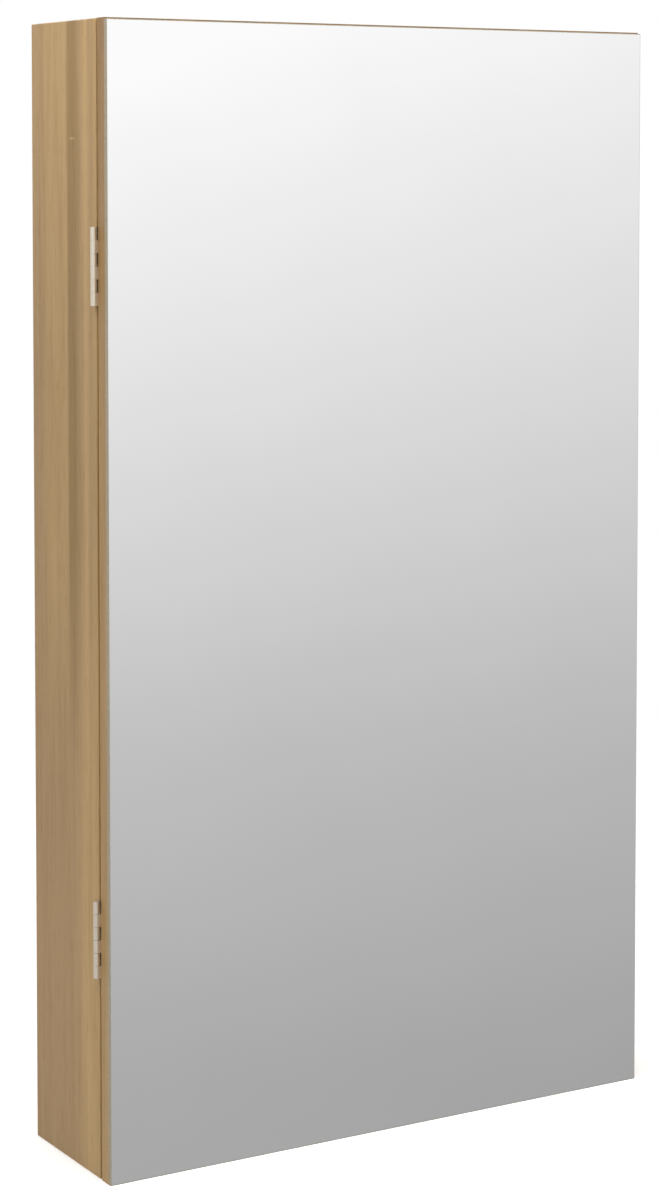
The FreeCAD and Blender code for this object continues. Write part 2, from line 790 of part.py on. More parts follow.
def ring_roll(number):
    """A velvet roll of foam: flat at its back, round at its front, drawn in at its ends."""
    label = f"ring_roll_{number}"
    low = f"upper_shelf_top + tray_rim + roll_gap + ({number} - 1) * roll_pitch"
    body = new_body(label, z=f"{low} + roll_height / 2")
    section = new_sketch(body, "YZ", f"{label}_section", "-roll_half")
    half = "(roll_height / 2)"
    bow = f"(roll_front + {half})"
    draw(section, [
        ("tray_floor_front", f"-{half}"),
        ("tray_floor_front", half),
        (bow, half),
        ("roll_front", "0", bow, "0", "left"),
        (bow, f"-{half}", bow, "0", "left"),
    ])
    roll = pad(body, section, "2 * roll_half", 1)
    ends = edges_at(roll, x="-roll_half") + edges_at(roll, x="roll_half")
    seated = edges_at(roll, y="tray_floor_front")
    soften(body, roll, [edge for edge in ends if edge not in seated], "roll_draw_in", "Chamfer")


# %% Bracelet rod, necklace rail and hooks

def rod_cup(label, side):
    """A turned cup on a spigot, let into the side board; the rod's end rests in it."""
    body = new_body(label, f"{side} * side_in", "rod_y", "rod_z")
    profile = new_sketch(body, "XY", f"{label}_profile")
    draw(profile, [
        (f"{-side} * cup_floor", "0"),
        (f"{-side} * cup_floor", "rod_dia / 2 + rod_play"),
        (f"{-side} * cup_length", "rod_dia / 2 + rod_play"),
        (f"{-side} * cup_length", "cup_dia / 2"),
        ("0", "cup_dia / 2"),
        ("0", "0"),
    ])
    revolve(body, profile, "H_Axis")
    spigot = new_sketch(body, "YZ", f"{label}_spigot")
    many_sided(spigot, "0", "0", "spigot_dia / 2", int(value("dowel_sides")))
    pad(body, spigot, "spigot_length", side)


def bracelet_rod():
    """A round bar between the two cups."""
    half = "(side_in - cup_floor - rod_end_gap)"
    body = new_body("bracelet_rod", "0", "rod_y", "rod_z")
    end = new_sketch(body, "YZ", "rod_end", f"-{half}")
    circle(end, "0", "0", "rod_dia / 2")
    pad(body, end, f"2 * {half}", 1)


def hook_bar(label, names, back, front, middle, half_width, half_height, way):
    """A bar bored along its front for a row of hooks, with its front edges rounded."""
    body = new_body(label)
    outline = new_sketch(body, "XZ", f"{label}_outline", back)
    low, high = f"{middle} - {half_height}", f"{middle} + {half_height}"
    rectangle(outline, f"-({half_width})", low, half_width, high)
    bar = pad(body, outline, f"{way} * ({front} - ({back}))", way)
    rounded = edges_at(bar, y=front, z=low) + edges_at(bar, y=front, z=high)
    soften(body, bar, rounded, "rail_round")
    hole = bore(body, "XZ", f"{label}_bore", front, f"-({names}_hook_count - 1) * {names}_hook_pitch / 2",
                middle, f"{names}_hook_wire / 2 + hook_play", f"{names}_hook_embed + hook_bore_gap",
                -way, int(value("hook_sides")))
    repeat(body, [hole], "X", f"{names}_hook_pitch", f"{names}_hook_count")


def hook_row(label, names, front, middle, way):
    """A row of wire hooks: out of the bar, bent up, and ended in a bead."""
    body = new_body(label, f"-({names}_hook_count - 1) * {names}_hook_pitch / 2", front, middle)
    wire, bead = f"{names}_hook_wire / 2", "hook_ball / 2"
    straight, bend = f"{names}_hook_straight", f"{names}_hook_bend"
    stations = [(f"-{names}_hook_embed", "0", 0, wire)]
    steps = int(value("hook_bend_steps"))
    for step in range(steps + 1):
        angle = 90 * step / steps
        out = f"{straight} + {bend} * sin({angle:g} deg)"
        up = f"{bend} * (1 - cos({angle:g} deg))"
        stations.append((out, up, angle, wire))
    for share, radius in ((0, wire), (0.3, bead), (0.65, bead), (1, wire)):
        up = f"{bend} + {names}_hook_tip + {share} * hook_ball"
        stations.append((f"{straight} + {bend}", up, 90, radius))
    sections = []
    for number, (out, up, angle, radius) in enumerate(stations):
        section = new_sketch(body, "XZ", f"{label}_{number}", f"{way} * ({out})")
        turned = section.AttachmentOffset
        turned.Rotation = FreeCAD.Rotation(FreeCAD.Vector(1, 0, 0), way * angle)
        section.AttachmentOffset = turned
        section.setExpression("AttachmentOffset.Base.y", formula(up))
        many_sided(section, "0", "0", radius, int(value("hook_sides")))
        sections.append(section)
    hook = loft(body, f"{label}_wire", sections)
    repeat(body, [hook], "X", f"{names}_hook_pitch", f"{names}_hook_count")


# %% Door: board, mirror, catch, earring panel and hook strip

def door_panel():
    """The door board, let in for the leaves and bored for the screws in its back."""
    body = new_body("door_panel")
    outline = new_sketch(body, "XZ", "door_outline", "door_back")
    rectangle(outline, "-side_out", "bottom", "side_out", "top")
    board = pad(body, outline, "door_board", -1)
    soften(body, board, edges_at(board, y="door_back"), "board_arris", "Chamfer")
    recess = new_sketch(body, "XZ", "door_leaf_recess", "door_back")
    for hinge in ("upper_hinge", "lower_hinge"):
        half = "hinge_length / 2 + leaf_play"
        rectangle(recess, "-side_out - leaf_play", f"{hinge} - ({half})",
                  "leaf_edge + leaf_play", f"{hinge} + ({half})")
    pocket(body, recess, "leaf_thick", -1)
    hinge_screw_bores(body, "door_back", "door_screw_length", -1)
    hole = bore(body, "XZ", "strike_screw_bore", "door_back", "side_middle", "lower_catch",
                "hinge_screw_dia / 2 + screw_play", "door_screw_length - strike_thick + screw_play",
                -1, int(value("screw_sides")))
    repeat(body, [hole], "Z", "upper_catch - lower_catch", "2")


def mirror():
    """The mirror glass, bonded to the whole front of the door but for a sliver at its top."""
    body = new_body("mirror")
    outline = new_sketch(body, "XZ", "mirror_outline", "door_front")
    rectangle(outline, "-side_out", "bottom", "side_out", "top - mirror_reveal")
    glass = pad(body, outline, "mirror_thick", -1)
    soften(body, glass, edges_at(glass, y="mirror_front"), "mirror_arris", "Chamfer")


def catch_magnets():
    """Two magnets in the free side's front edge, standing a little proud."""
    body = new_body("catch_magnets", "side_middle", "case_front")
    ends = new_sketch(body, "XZ", "magnet_ends", "magnet_length - magnet_proud")
    for height in ("lower_catch", "upper_catch"):
        circle(ends, "0", height, "magnet_dia / 2")
    pad(body, ends, "magnet_length", -1)


def strike_plates():
    """Two steel discs on the door's back, opposite the magnets."""
    body = new_body("strike_plates", "side_middle", "door_back")
    outline = new_sketch(body, "XZ", "strike_outline")
    places = [("0", "lower_catch"), ("0", "upper_catch")]
    for x, z in places:
        circle(outline, x, z, "strike_dia / 2")
    pad(body, outline, "strike_thick", 1)
    countersunk_holes(body, "strike_thick", "strike_thick", places, "hinge_screw_dia",
                      "hinge_screw_head", -1)


def strike_screws():
    """One screw through each strike plate."""
    body = new_body("strike_screws", "side_middle", "door_back + strike_thick")
    places = [("0", "lower_catch"), ("0", "upper_catch")]
    wood_screws(body, places, "hinge_screw_dia", "hinge_screw_head", "door_screw_length", -1)


def door_bumpers():
    """Two clear domes on the door's back at its free corners."""
    body = new_body("door_bumpers", "side_middle", "door_back", "bottom + bumper_from_end")
    profile = new_sketch(body, "XY", "bumper_profile")
    draw(profile, [
        ("0", "0"),
        ("bumper_dia / 2", "0"),
        ("bumper_dia / 2", "bumper_thick - bumper_bevel"),
        ("bumper_dia / 2 - bumper_bevel", "bumper_thick"),
        ("0", "bumper_thick"),
    ])
    dome = revolve(body, profile, "V_Axis")
    repeat(body, [dome], "Z", "cab_height - 2 * bumper_from_end", "2")


def earring_frame():
    """A frame on the door's back that holds the slotted panel clear of the board."""
    body = new_body("earring_frame")
    outline = new_sketch(body, "XZ", "frame_outline", "door_back")
    half = "earring_width / 2"
    rectangle(outline, f"-{half}", "earring_low", half, "earring_top")
    bars = pad(body, outline, "earring_depth", 1)
    rounded = edges_at(bars, y="earring_front")
    soften(body, bars, rounded, "earring_round")
    inside = new_sketch(body, "XZ", "frame_inside", "earring_front")
    window = f"({half} - earring_rail)"
    rectangle(inside, f"-{window}", "earring_low + earring_rail", window, "earring_top - earring_rail")
    pocket(body, inside, "earring_depth", -1)
    rebate = new_sketch(body, "XZ", "frame_rebate", "earring_front")
    inset = "(earring_rail - earring_rebate)"
    rectangle(rebate, f"-({half} - {inset})", f"earring_low + {inset}", f"{half} - {inset}",
              f"earring_top - {inset}")
    pocket(body, rebate, "earring_thick", -1)


def earring_panel():
    """A thin panel in the frame's rebate, slotted for earring posts."""
    body = new_body("earring_panel")
    outline = new_sketch(body, "XZ", "panel_outline", "earring_seat")
    inset = "(earring_rail - earring_rebate + earring_play)"
    half = f"(earring_width / 2 - {inset})"
    rectangle(outline, f"-{half}", f"earring_low + {inset}", half, f"earring_top - {inset}")
    pad(body, outline, "earring_thick", 1)
    slot = new_sketch(body, "XZ", "earring_slot", "earring_front")
    first = "-(earring_columns - 1) * earring_pitch_across / 2"
    lowest = "earring_middle - (earring_rows - 1) * earring_pitch_down / 2"
    rectangle(slot, f"{first} - earring_slot_width / 2", f"{lowest} - earring_slot_height / 2",
              f"{first} + earring_slot_width / 2", f"{lowest} + earring_slot_height / 2")
    cut = pocket(body, slot, "earring_thick", -1)
    repeat(body, [cut], "X", "earring_pitch_across", "earring_columns",
           ("Z", "earring_pitch_down", "earring_rows"))


# %% Build every piece

side_halves = "side_in - lip_end_gap"

left_side()
right_side()
flat_board("top_panel", "top_in", "top", "top_in", 1)
flat_board("bottom_panel", "bottom", "bottom_in", "bottom_in", -1)
corner_dowels()
back_panel()
hanging_rail()
keyhole_plate("keyhole_plate_left", -1)
keyhole_plate("keyhole_plate_right", 1)
keyhole_screws()
back_lining()

for hinge in ("upper", "lower"):
    hinge_leaf(f"{hinge}_case_leaf", f"{hinge}_hinge", 1, 1)
    hinge_leaf(f"{hinge}_door_leaf", f"{hinge}_hinge", -1, 0)
    hinge_pin(f"{hinge}_hinge_pin", f"{hinge}_hinge")
hinge_screws("case_hinge_screws", "case_front", "case_screw_length", 1)
hinge_screws("door_hinge_screws", "door_back", "door_screw_length", -1)

for name in ("ring_shelf", "upper_shelf", "lower_shelf"):
    shelf(name)
shelf_lip("ring_lip", "ring_shelf_low", "ring_shelf_top + lip_stand")
shelf_lip("lower_lip", "lower_shelf_low", "lower_shelf_top + lip_stand")
shelf_lip("bottom_lip", "bottom_in", "bottom_in + lip_stand")
ring_tray()
for number in range(1, int(value("roll_count")) + 1):
    ring_roll(number)

rod_cup("rod_cup_left", -1)
rod_cup("rod_cup_right", 1)
bracelet_rod()
hook_bar("necklace_rail", "necklace", "lining_front", "necklace_rail_front", "necklace_rail_z",
         side_halves, "necklace_rail_height / 2", -1)
hook_row("necklace_hooks", "necklace", "necklace_rail_front", "necklace_rail_z", -1)

door_panel()
mirror()
catch_magnets()
strike_plates()
strike_screws()
door_bumpers()
earring_frame()
earring_panel()
hook_bar("door_hook_strip", "door", "door_back", "strip_front", "strip_z",
         "strip_width / 2", "strip_height / 2", 1)
hook_row("door_hooks", "door", "strip_front", "strip_z", 1)

document.recompute()

# %% Check every object, then write every piece

failed = [item.Label for item in document.Objects if {"Invalid", "Error"} & set(item.State)]
if failed:
    raise RuntimeError(f"not rebuilt: {', '.join(failed)}")
for piece in pieces:
    if piece.Shape.isNull() or not piece.Shape.isValid() or not piece.Shape.Solids:
        raise RuntimeError(f"{piece.Label} is not a valid solid")

os.makedirs("parts", exist_ok=True)
for piece in pieces:
    piece.Shape.exportStep(f"parts/{piece.Label}.step")
    print(f"{piece.Label}: {len(piece.Shape.Solids)} solid(s), {piece.Shape.Volume:.0f} mm3")
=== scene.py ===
# %% [markdown]
# # A jewellery cabinet with a mirror for its door
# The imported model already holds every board, hinge and hook at its true size.  This script
# dresses it: it loads that frame, gives each CAD piece a procedural finish, and builds finer
# pieces where the plain solid is too simple, such as the padded ring rolls and the wire hooks.
# Everything is in metres, with +X to the right, -Y out of the wall and +Z up.

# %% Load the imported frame
import json
import math

import bmesh
import bpy
from mathutils import Matrix, Vector

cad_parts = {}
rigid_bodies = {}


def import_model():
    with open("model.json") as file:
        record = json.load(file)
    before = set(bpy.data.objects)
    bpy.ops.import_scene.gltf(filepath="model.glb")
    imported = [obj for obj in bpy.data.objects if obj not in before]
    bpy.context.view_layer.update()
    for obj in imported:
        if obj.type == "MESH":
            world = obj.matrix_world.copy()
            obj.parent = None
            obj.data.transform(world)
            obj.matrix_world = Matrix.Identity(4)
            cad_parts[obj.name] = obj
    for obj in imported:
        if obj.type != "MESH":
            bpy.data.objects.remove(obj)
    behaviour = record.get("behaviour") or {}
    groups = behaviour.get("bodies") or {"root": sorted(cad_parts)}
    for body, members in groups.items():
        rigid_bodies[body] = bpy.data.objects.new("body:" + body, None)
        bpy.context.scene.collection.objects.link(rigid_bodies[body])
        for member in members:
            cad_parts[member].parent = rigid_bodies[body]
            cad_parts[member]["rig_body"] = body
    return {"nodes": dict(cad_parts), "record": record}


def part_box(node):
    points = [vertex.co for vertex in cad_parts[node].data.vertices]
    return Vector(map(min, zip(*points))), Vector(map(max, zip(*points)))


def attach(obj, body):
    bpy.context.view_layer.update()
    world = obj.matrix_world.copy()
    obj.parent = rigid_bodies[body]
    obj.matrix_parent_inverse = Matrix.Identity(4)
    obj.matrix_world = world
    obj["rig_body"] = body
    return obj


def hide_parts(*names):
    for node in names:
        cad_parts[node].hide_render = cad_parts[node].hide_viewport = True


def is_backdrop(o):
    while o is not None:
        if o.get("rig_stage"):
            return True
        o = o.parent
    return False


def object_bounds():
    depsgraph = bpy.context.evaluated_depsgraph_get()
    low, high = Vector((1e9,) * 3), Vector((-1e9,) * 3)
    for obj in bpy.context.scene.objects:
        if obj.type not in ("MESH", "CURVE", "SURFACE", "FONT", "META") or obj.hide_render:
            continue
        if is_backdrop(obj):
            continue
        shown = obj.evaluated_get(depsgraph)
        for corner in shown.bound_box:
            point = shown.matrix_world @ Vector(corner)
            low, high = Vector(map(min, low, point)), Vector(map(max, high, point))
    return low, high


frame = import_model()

MM = 0.001
cad_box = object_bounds()
nodes = frame["nodes"]
print("CAD box in mm:", [[round(v / MM, 1) for v in corner] for corner in cad_box])

# %% [markdown]
# ## The camera
# A product photograph of a tall box is usually taken with a long lens held level, and the lens
# is shifted so that upright edges stay upright.  Blender's camera can do the same: shift_y
# slides the picture without tilting the camera.  Here most of it is shift and the rest is a
# small tilt down, so that views from other sides stay in the picture.  The place, turn and
# focal length were found by matching the outline corners of the cabinet.

# %% Place the camera
PICTURE_LONG_SIDE = 1200
FOCAL_PIXELS = 2819.2
EYE = Vector((-895.9, -1532.2, -48.5)) * MM
YAW_DEGREES = 30.83
PITCH_DEGREES = 2.98
LENS_SHIFT = -0.24

lens = bpy.data.cameras.new("photo_camera")
lens.sensor_width = 36
lens.lens = FOCAL_PIXELS * lens.sensor_width / PICTURE_LONG_SIDE
lens.shift_y = LENS_SHIFT
lens.clip_start = 0.05
lens.clip_end = 100
camera = bpy.data.objects.new("photo_camera", lens)
camera.location = EYE
camera.rotation_euler = (math.radians(90 - PITCH_DEGREES), 0, -math.radians(YAW_DEGREES))
bpy.context.scene.collection.objects.link(camera)
bpy.context.scene.camera = camera
bpy.context.scene.view_settings.view_transform = "Standard"
print(f"lens {lens.lens:.1f} mm at {[round(v, 3) for v in EYE]}")

# %% [markdown]
# ## Small helpers for colours and nodes
# Colours are chosen as sRGB hex values, the way a paint chart or a browser shows them, but the
# renderer adds up light in linear numbers.  One function converts them.  The others start a
# material, add a shader node with its options and inputs, and turn a list of stops into a
# colour ramp, so that a finish reads like a short recipe.

# %% Colour and node helpers
def linear(hex_code):
    """An sRGB hex colour as linear red, green, blue and alpha."""
    channels = [int(hex_code[start:start + 2], 16) / 255 for start in (1, 3, 5)]
    return (*[c / 12.92 if c <= 0.04045 else ((c + 0.055) / 1.055) ** 2.4 for c in channels], 1)


def add_node(tree, kind, inputs=(), **options):
    """Add a node; inputs maps a socket to a value or to another node's output."""
    made = tree.nodes.new("ShaderNode" + kind)
    for name, option in options.items():
        setattr(made, name, option)
    for name, given in dict(inputs).items():
        if isinstance(given, bpy.types.NodeSocket):
            tree.links.new(given, made.inputs[name])
        else:
            made.inputs[name].default_value = given
    return made


def new_finish(name, **settings):
    """A material with its node tree and Principled shader, whose sockets take the settings."""
    material = bpy.data.materials.new(name)
    material.use_nodes = True
    shader = material.node_tree.nodes["Principled BSDF"]
    for socket, setting in settings.items():
        shader.inputs[socket.replace("_", " ")].default_value = setting
    return material, material.node_tree, shader


def ramp(tree, factor, stops):
    """A colour ramp: stops are pairs of a place from 0 to 1 and a hex colour."""
    made = add_node(tree, "ValToRGB", {"Fac": factor})
    while len(made.color_ramp.elements) < len(stops):
        made.color_ramp.elements.new(0.5)
    for element, (place, colour) in zip(made.color_ramp.elements, stops):
        element.position = place
        element.color = linear(colour)
    return made.outputs["Color"]


print("mid grey is", round(linear("#808080")[0], 3), "in linear light")

# %% [markdown]
# ## The studio
# The photograph has a pure white ground.  The floor here is a pale sheet that shows the soft
# shadow near the cabinet and fades to plain white further out, so no horizon shows.  What a
# mirror looks like is the room that it reflects: in the photograph that is a room that is
# bright at eye level and falls off towards the floor and to the right.  The world gives
# mirrors and metals that room, and gives the camera plain white.

# %% Floor
# half the floor's side, and how far out its fade to white starts and ends, in metres
FLOOR_HALF = 12.0
FADE_START, FADE_END = 0.45, 1.3
# a little more light that only the camera sees, so that the shadow is as pale as it should be
FLOOR_LIFT = 0.26

floor_mesh = bpy.data.meshes.new("studio_floor")
sheet = bmesh.new()
bmesh.ops.create_grid(sheet, x_segments=1, y_segments=1, size=FLOOR_HALF)
bmesh.ops.translate(sheet, verts=sheet.verts, vec=(0, 0, cad_box[0].z))
sheet.to_mesh(floor_mesh)
sheet.free()
floor = bpy.data.objects.new("studio_floor", floor_mesh)
bpy.context.scene.collection.objects.link(floor)
floor.visible_glossy = False
floor.visible_transmission = False
floor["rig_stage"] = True

paper, tree, shader = new_finish("matt_white_paper", Roughness=0.9)
shader.inputs["Base Color"].default_value = linear("#F4F4F4")
place = add_node(tree, "TexCoord").outputs["Object"]
flat = add_node(tree, "VectorMath", {0: place, 1: (1, 1, 0)}, operation="MULTIPLY")
away = add_node(tree, "VectorMath", {0: flat.outputs[0]}, operation="LENGTH")
fade = add_node(tree, "MapRange", {"Value": away.outputs["Value"], "From Min": FADE_START,
                                   "From Max": FADE_END}, interpolation_type="SMOOTHSTEP")
path = add_node(tree, "LightPath")
seen = add_node(tree, "Math", {0: fade.outputs["Result"], 1: path.outputs["Is Camera Ray"]},
                operation="MULTIPLY")
lift = add_node(tree, "Math", {0: path.outputs["Is Camera Ray"], 1: FLOOR_LIFT},
                operation="MULTIPLY")
glow = add_node(tree, "Emission", {"Color": (1, 1, 1, 1), "Strength": lift.outputs[0]})
lit_paper = add_node(tree, "AddShader", {0: shader.outputs[0], 1: glow.outputs[0]})
white = add_node(tree, "Emission", {"Color": (1, 1, 1, 1), "Strength": 1})
mixed = add_node(tree, "MixShader", {0: seen.outputs[0], 1: lit_paper.outputs[0],
                                     2: white.outputs[0]})
tree.links.new(mixed.outputs[0], tree.nodes["Material Output"].inputs["Surface"])
floor_mesh.materials.append(paper)
print("floor at", round(cad_box[0].z / MM), "mm, fading from", FADE_START, "to", FADE_END, "m")

# %% [markdown]
# ## The room that mirrors see
# A world in Blender has a colour for each direction.  Here a ramp over the height gives the
# mirrors a room that is white at eye level and grey towards the floor, a second factor makes
# it darker to the right, and a plain wall stands on the left.  Only glossy and transmitted
# rays see that room: the object gets an even white light from all sides, and the camera
# sees plain white.

# %% Room light
# brightness of the reflected room against the sine of the height that it is seen at
ROOM_STOPS = [(-1.0, "#707070"), (-0.31, "#A6A6A6"), (-0.2, "#BCBCBC"), (-0.1, "#D8D8D8"),
              (0.08, "#FFFFFF")]
# the room is brighter than that by its gain, cut off at white, and darkens to the right
# beyond an edge, which is given as the sine of the turn to the right
ROOM_GAIN, ROOM_EDGE, ROOM_FALL = 1.1, 0.44, 0.42
# a plain wall on the left, which the hinges mirror, how much darker it is higher up, and
# between which turns to the right it ends and is full
LEFT_WALL, LEFT_SLOPE = 0.57, -0.15
LEFT_EDGE, LEFT_FULL = 0.3, -0.1
AMBIENT = 0.47

world = bpy.data.worlds.new("studio_room")
world.use_nodes = True
bpy.context.scene.world = world
tree = world.node_tree
tree.nodes.clear()
direction = add_node(tree, "TexCoord").outputs["Generated"]
axes = add_node(tree, "SeparateXYZ", {0: direction})
height = add_node(tree, "MapRange", {"Value": axes.outputs["Z"], "From Min": -1, "From Max": 1})
wall = ramp(tree, height.outputs["Result"], [((sine + 1) / 2, grey) for sine, grey in ROOM_STOPS])
fall = add_node(tree, "MapRange", {"Value": axes.outputs["X"], "From Min": ROOM_EDGE,
                                   "From Max": 1, "To Min": ROOM_GAIN,
                                   "To Max": ROOM_GAIN * (1 - ROOM_FALL)})
room = add_node(tree, "VectorMath", {0: wall, "Scale": fall.outputs["Result"]}, operation="SCALE")
room = add_node(tree, "VectorMath", {0: room.outputs[0], 1: (1, 1, 1)}, operation="MINIMUM")
leftness = add_node(tree, "MapRange", {"Value": axes.outputs["X"], "From Min": LEFT_EDGE,
                                       "From Max": LEFT_FULL}, interpolation_type="SMOOTHSTEP")
left_wall = add_node(tree, "Math", {0: axes.outputs["Z"], 1: LEFT_SLOPE, 2: LEFT_WALL},
                     operation="MULTIPLY_ADD")
left_light = add_node(tree, "Math", {0: left_wall.outputs[0], 1: leftness.outputs[0]},
                      operation="MULTIPLY")
room = add_node(tree, "VectorMath", {0: room.outputs[0], 1: left_light.outputs[0]},
                operation="MAXIMUM")
path = add_node(tree, "LightPath")
shiny = add_node(tree, "Math", {0: path.outputs["Is Glossy Ray"],
                                1: path.outputs["Is Transmission Ray"]}, operation="MAXIMUM")
soft = add_node(tree, "Background", {"Color": (1, 1, 1, 1), "Strength": AMBIENT})
mirrored = add_node(tree, "Background", {"Color": room.outputs[0], "Strength": 1})
plain = add_node(tree, "Background", {"Color": (1, 1, 1, 1), "Strength": 1})
lit = add_node(tree, "MixShader", {0: shiny.outputs[0], 1: soft.outputs[0],
                                   2: mirrored.outputs[0]})
shown = add_node(tree, "MixShader", {0: path.outputs["Is Camera Ray"], 1: lit.outputs[0],
                                     2: plain.outputs[0]})
add_node(tree, "OutputWorld", {"Surface": shown.outputs[0]})
print("ambient level", AMBIENT)

# %% [markdown]
# ## Lamps
# Four large soft lamps, as in a small product studio: one high on the left lights the side
# board, one high in front lights the door and the open case, and two more on the right and
# behind keep those sides readable.  They sit above the cabinet, so the wood is brightest at
# its top and falls off towards the floor as it does in the photograph.

# %% Soft lamps
# each lamp's place in metres, its size in metres and its power in watts
LAMPS = {
    "lamp_left": ((-0.95, -0.5, 0.75), 0.8, 10),
    "lamp_front": ((0.3, -2.0, 1.2), 1.4, 22),
    "lamp_right": ((1.8, -0.2, 0.9), 1.2, 12),
    "lamp_back": ((-0.3, 1.8, 1.0), 1.2, 12),
}
LAMP_TARGET = Vector((0, -0.05, -0.3))
for name, (spot, size, power) in LAMPS.items():
    light = bpy.data.lights.new(name, "AREA")
    light.size = size
    light.energy = power
    lamp = bpy.data.objects.new(name, light)
    lamp.location = spot
    aim = LAMP_TARGET - Vector(spot)
    lamp.rotation_euler = aim.to_track_quat("-Z", "Y").to_euler()
    lamp.visible_camera = False
    bpy.context.scene.collection.objects.link(lamp)
print(len(LAMPS), "soft lamps")

# %% [markdown]
# ## Oak-look foil
# The boards of such a cabinet are particle board wrapped in a printed foil.  Its print has
# broad soft growth bands some 10 to 30 mm wide, finer lines of a few millimetres, and short
# dark pores along the grain; it is satin, with almost no relief.  Noise stretched along the
# grain gives all three.

# %% Grain helper and the print's sizes
GRAIN_STRETCH, PORE_STRETCH = 0.03, 0.045
BAND_WIDTH = 26 * MM
LINE_WIDTH = 3.2 * MM
# real pores are 0.2 mm wide, too fine to show, so they are drawn 0.7 mm wide
PORE_WIDTH = 0.7 * MM
PORE_SHARE = 0.7
PORE_DEPTH = 0.05 * MM


def grain(tree, place, along, stretch, **noise):
    """Noise that runs along one axis, from 0 to 1."""
    scale = [stretch if axis == along else 1 for axis in "XYZ"]
    longer = add_node(tree, "Mapping", {"Vector": place, "Scale": scale})
    made = add_node(tree, "TexNoise", {"Vector": longer.outputs[0],
                                       **{key.replace("_", " "): v for key, v in noise.items()}})
    return made.outputs["Fac"]


def blended(tree, share, under, over, blend_type="MIX"):
    """One colour over another, by a share from 0 to 1."""
    return add_node(tree, "Mix", {0: share, 6: under, 7: over}, data_type="RGBA",
                    blend_type=blend_type).outputs[2]


print("bands", round(BAND_WIDTH / MM), "mm wide, lines", round(LINE_WIDTH / MM, 1), "mm")

# %% [markdown]
# ## The side board's own bands
# The left side board shows one cut of the print: a pale band towards the back, a dark streak
# past the middle, a light band near the front, and a small pale knot.  A colour ramp from the
# back to the front draws them.  The streak ends lower down, so there are two ramps, and the
# height chooses between them.  A slow noise makes the bands wander a little.

# %% Side board print
# four tones, and where they lie from the board's back, 0, to its front, 1
DARK, MIDDLE, PALE, LIGHT = "#937545", "#AC8D62", "#B89866", "#C09F6C"
UPPER_BANDS = [(0.12, MIDDLE), (0.27, PALE), (0.54, PALE), (0.58, DARK), (0.68, DARK),
               (0.76, MIDDLE), (0.84, LIGHT), (0.9, MIDDLE), (1.0, PALE)]
LOWER_BANDS = [(0.65, MIDDLE), (0.82, LIGHT), (1.0, PALE)]
# the dark streak fades out between these heights
STREAK_LOW, STREAK_HIGH = -0.42, -0.27
# how much these bands cover the foil's usual ones
OWN_SHARE = 0.85
# the bands wander sideways by this much, in slow waves along the grain
WANDER, DRIFT, DRIFT_STRETCH = 1.5 * MM, 60 * MM, 0.12
# painted light: the board's colour is multiplied by a tone that is palest at its very top,
# as light from above makes it; the stops run from the bottom to the top
SIDE_TOP_PAINTED_LIGHT = [(0.1, "#F6F6F6"), (0.7, "#EFEFEF"), (0.96, "#FFFFFF")]
KNOT = "#CDB084"
KNOT_PLACE = Vector((0, -55, -33)) * MM
KNOT_REACH = Vector((1, 3.6, 1.0)) * MM
# the knot fades out between its core and its rim, and covers the print by its share
KNOT_CORE, KNOT_RIM, KNOT_SHARE = 0.5, 1.3, 0.4


def side_print(tree, place, along, colour):
    """The side board's own bands from back to front, its knot, and painted light at its top."""
    low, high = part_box("left_side")
    parts = add_node(tree, "SeparateXYZ", {0: place})
    drift = grain(tree, place, along, DRIFT_STRETCH, Scale=1 / DRIFT, Detail=1)
    wander = add_node(tree, "MapRange", {"Value": drift, "To Min": -WANDER, "To Max": WANDER})
    moved = add_node(tree, "Math", {0: parts.outputs["Y"], 1: wander.outputs[0]},
                     operation="ADD").outputs[0]
    forward = add_node(tree, "MapRange", {"Value": moved, "From Min": high.y,
                                          "From Max": low.y}).outputs[0]
    streak = add_node(tree, "MapRange", {"Value": parts.outputs["Z"], "From Min": STREAK_LOW,
                                         "From Max": STREAK_HIGH}).outputs[0]
    own = blended(tree, streak, ramp(tree, forward, LOWER_BANDS), ramp(tree, forward, UPPER_BANDS))
    colour = blended(tree, OWN_SHARE, colour, own)
    risen = add_node(tree, "MapRange", {"Value": parts.outputs["Z"], "From Min": low.z,
                                        "From Max": high.z}).outputs[0]
    # painted light: the board is made paler towards its top
    colour = blended(tree, 1.0, colour, ramp(tree, risen, SIDE_TOP_PAINTED_LIGHT), "MULTIPLY")
    flat = add_node(tree, "VectorMath", {0: place, 1: (0, 1, 1)}, operation="MULTIPLY")
    near = add_node(tree, "VectorMath", {0: flat.outputs[0], 1: KNOT_PLACE}, operation="SUBTRACT")
    near = add_node(tree, "VectorMath", {0: near.outputs[0], 1: KNOT_REACH}, operation="DIVIDE")
    near = add_node(tree, "VectorMath", {0: near.outputs[0]}, operation="LENGTH")
    knot = add_node(tree, "MapRange", {"Value": near.outputs["Value"], "From Min": KNOT_RIM,
                                       "From Max": KNOT_CORE, "To Max": KNOT_SHARE}).outputs[0]
    return blended(tree, knot, colour, linear(KNOT))


print(len(UPPER_BANDS), "and", len(LOWER_BANDS), "places for four tones")

# %% [markdown]
# ## The door's edge strips
# A board cut to size shows its bare core at the edges, so thin strips are glued on.  On the
# real door they have a slightly darker print, and are darker towards the top.  The node
# tree finds them by distance: a point nearer to a narrow face than a strip's thickness is
# in a strip.

# %% Edge strips
STRIP_THICK = 0.5 * MM
UP_THE_STRIP = [(0.0, "#FFFEFC"), (0.5, "#EEE8DF"), (1.0, "#D9D0C4")]


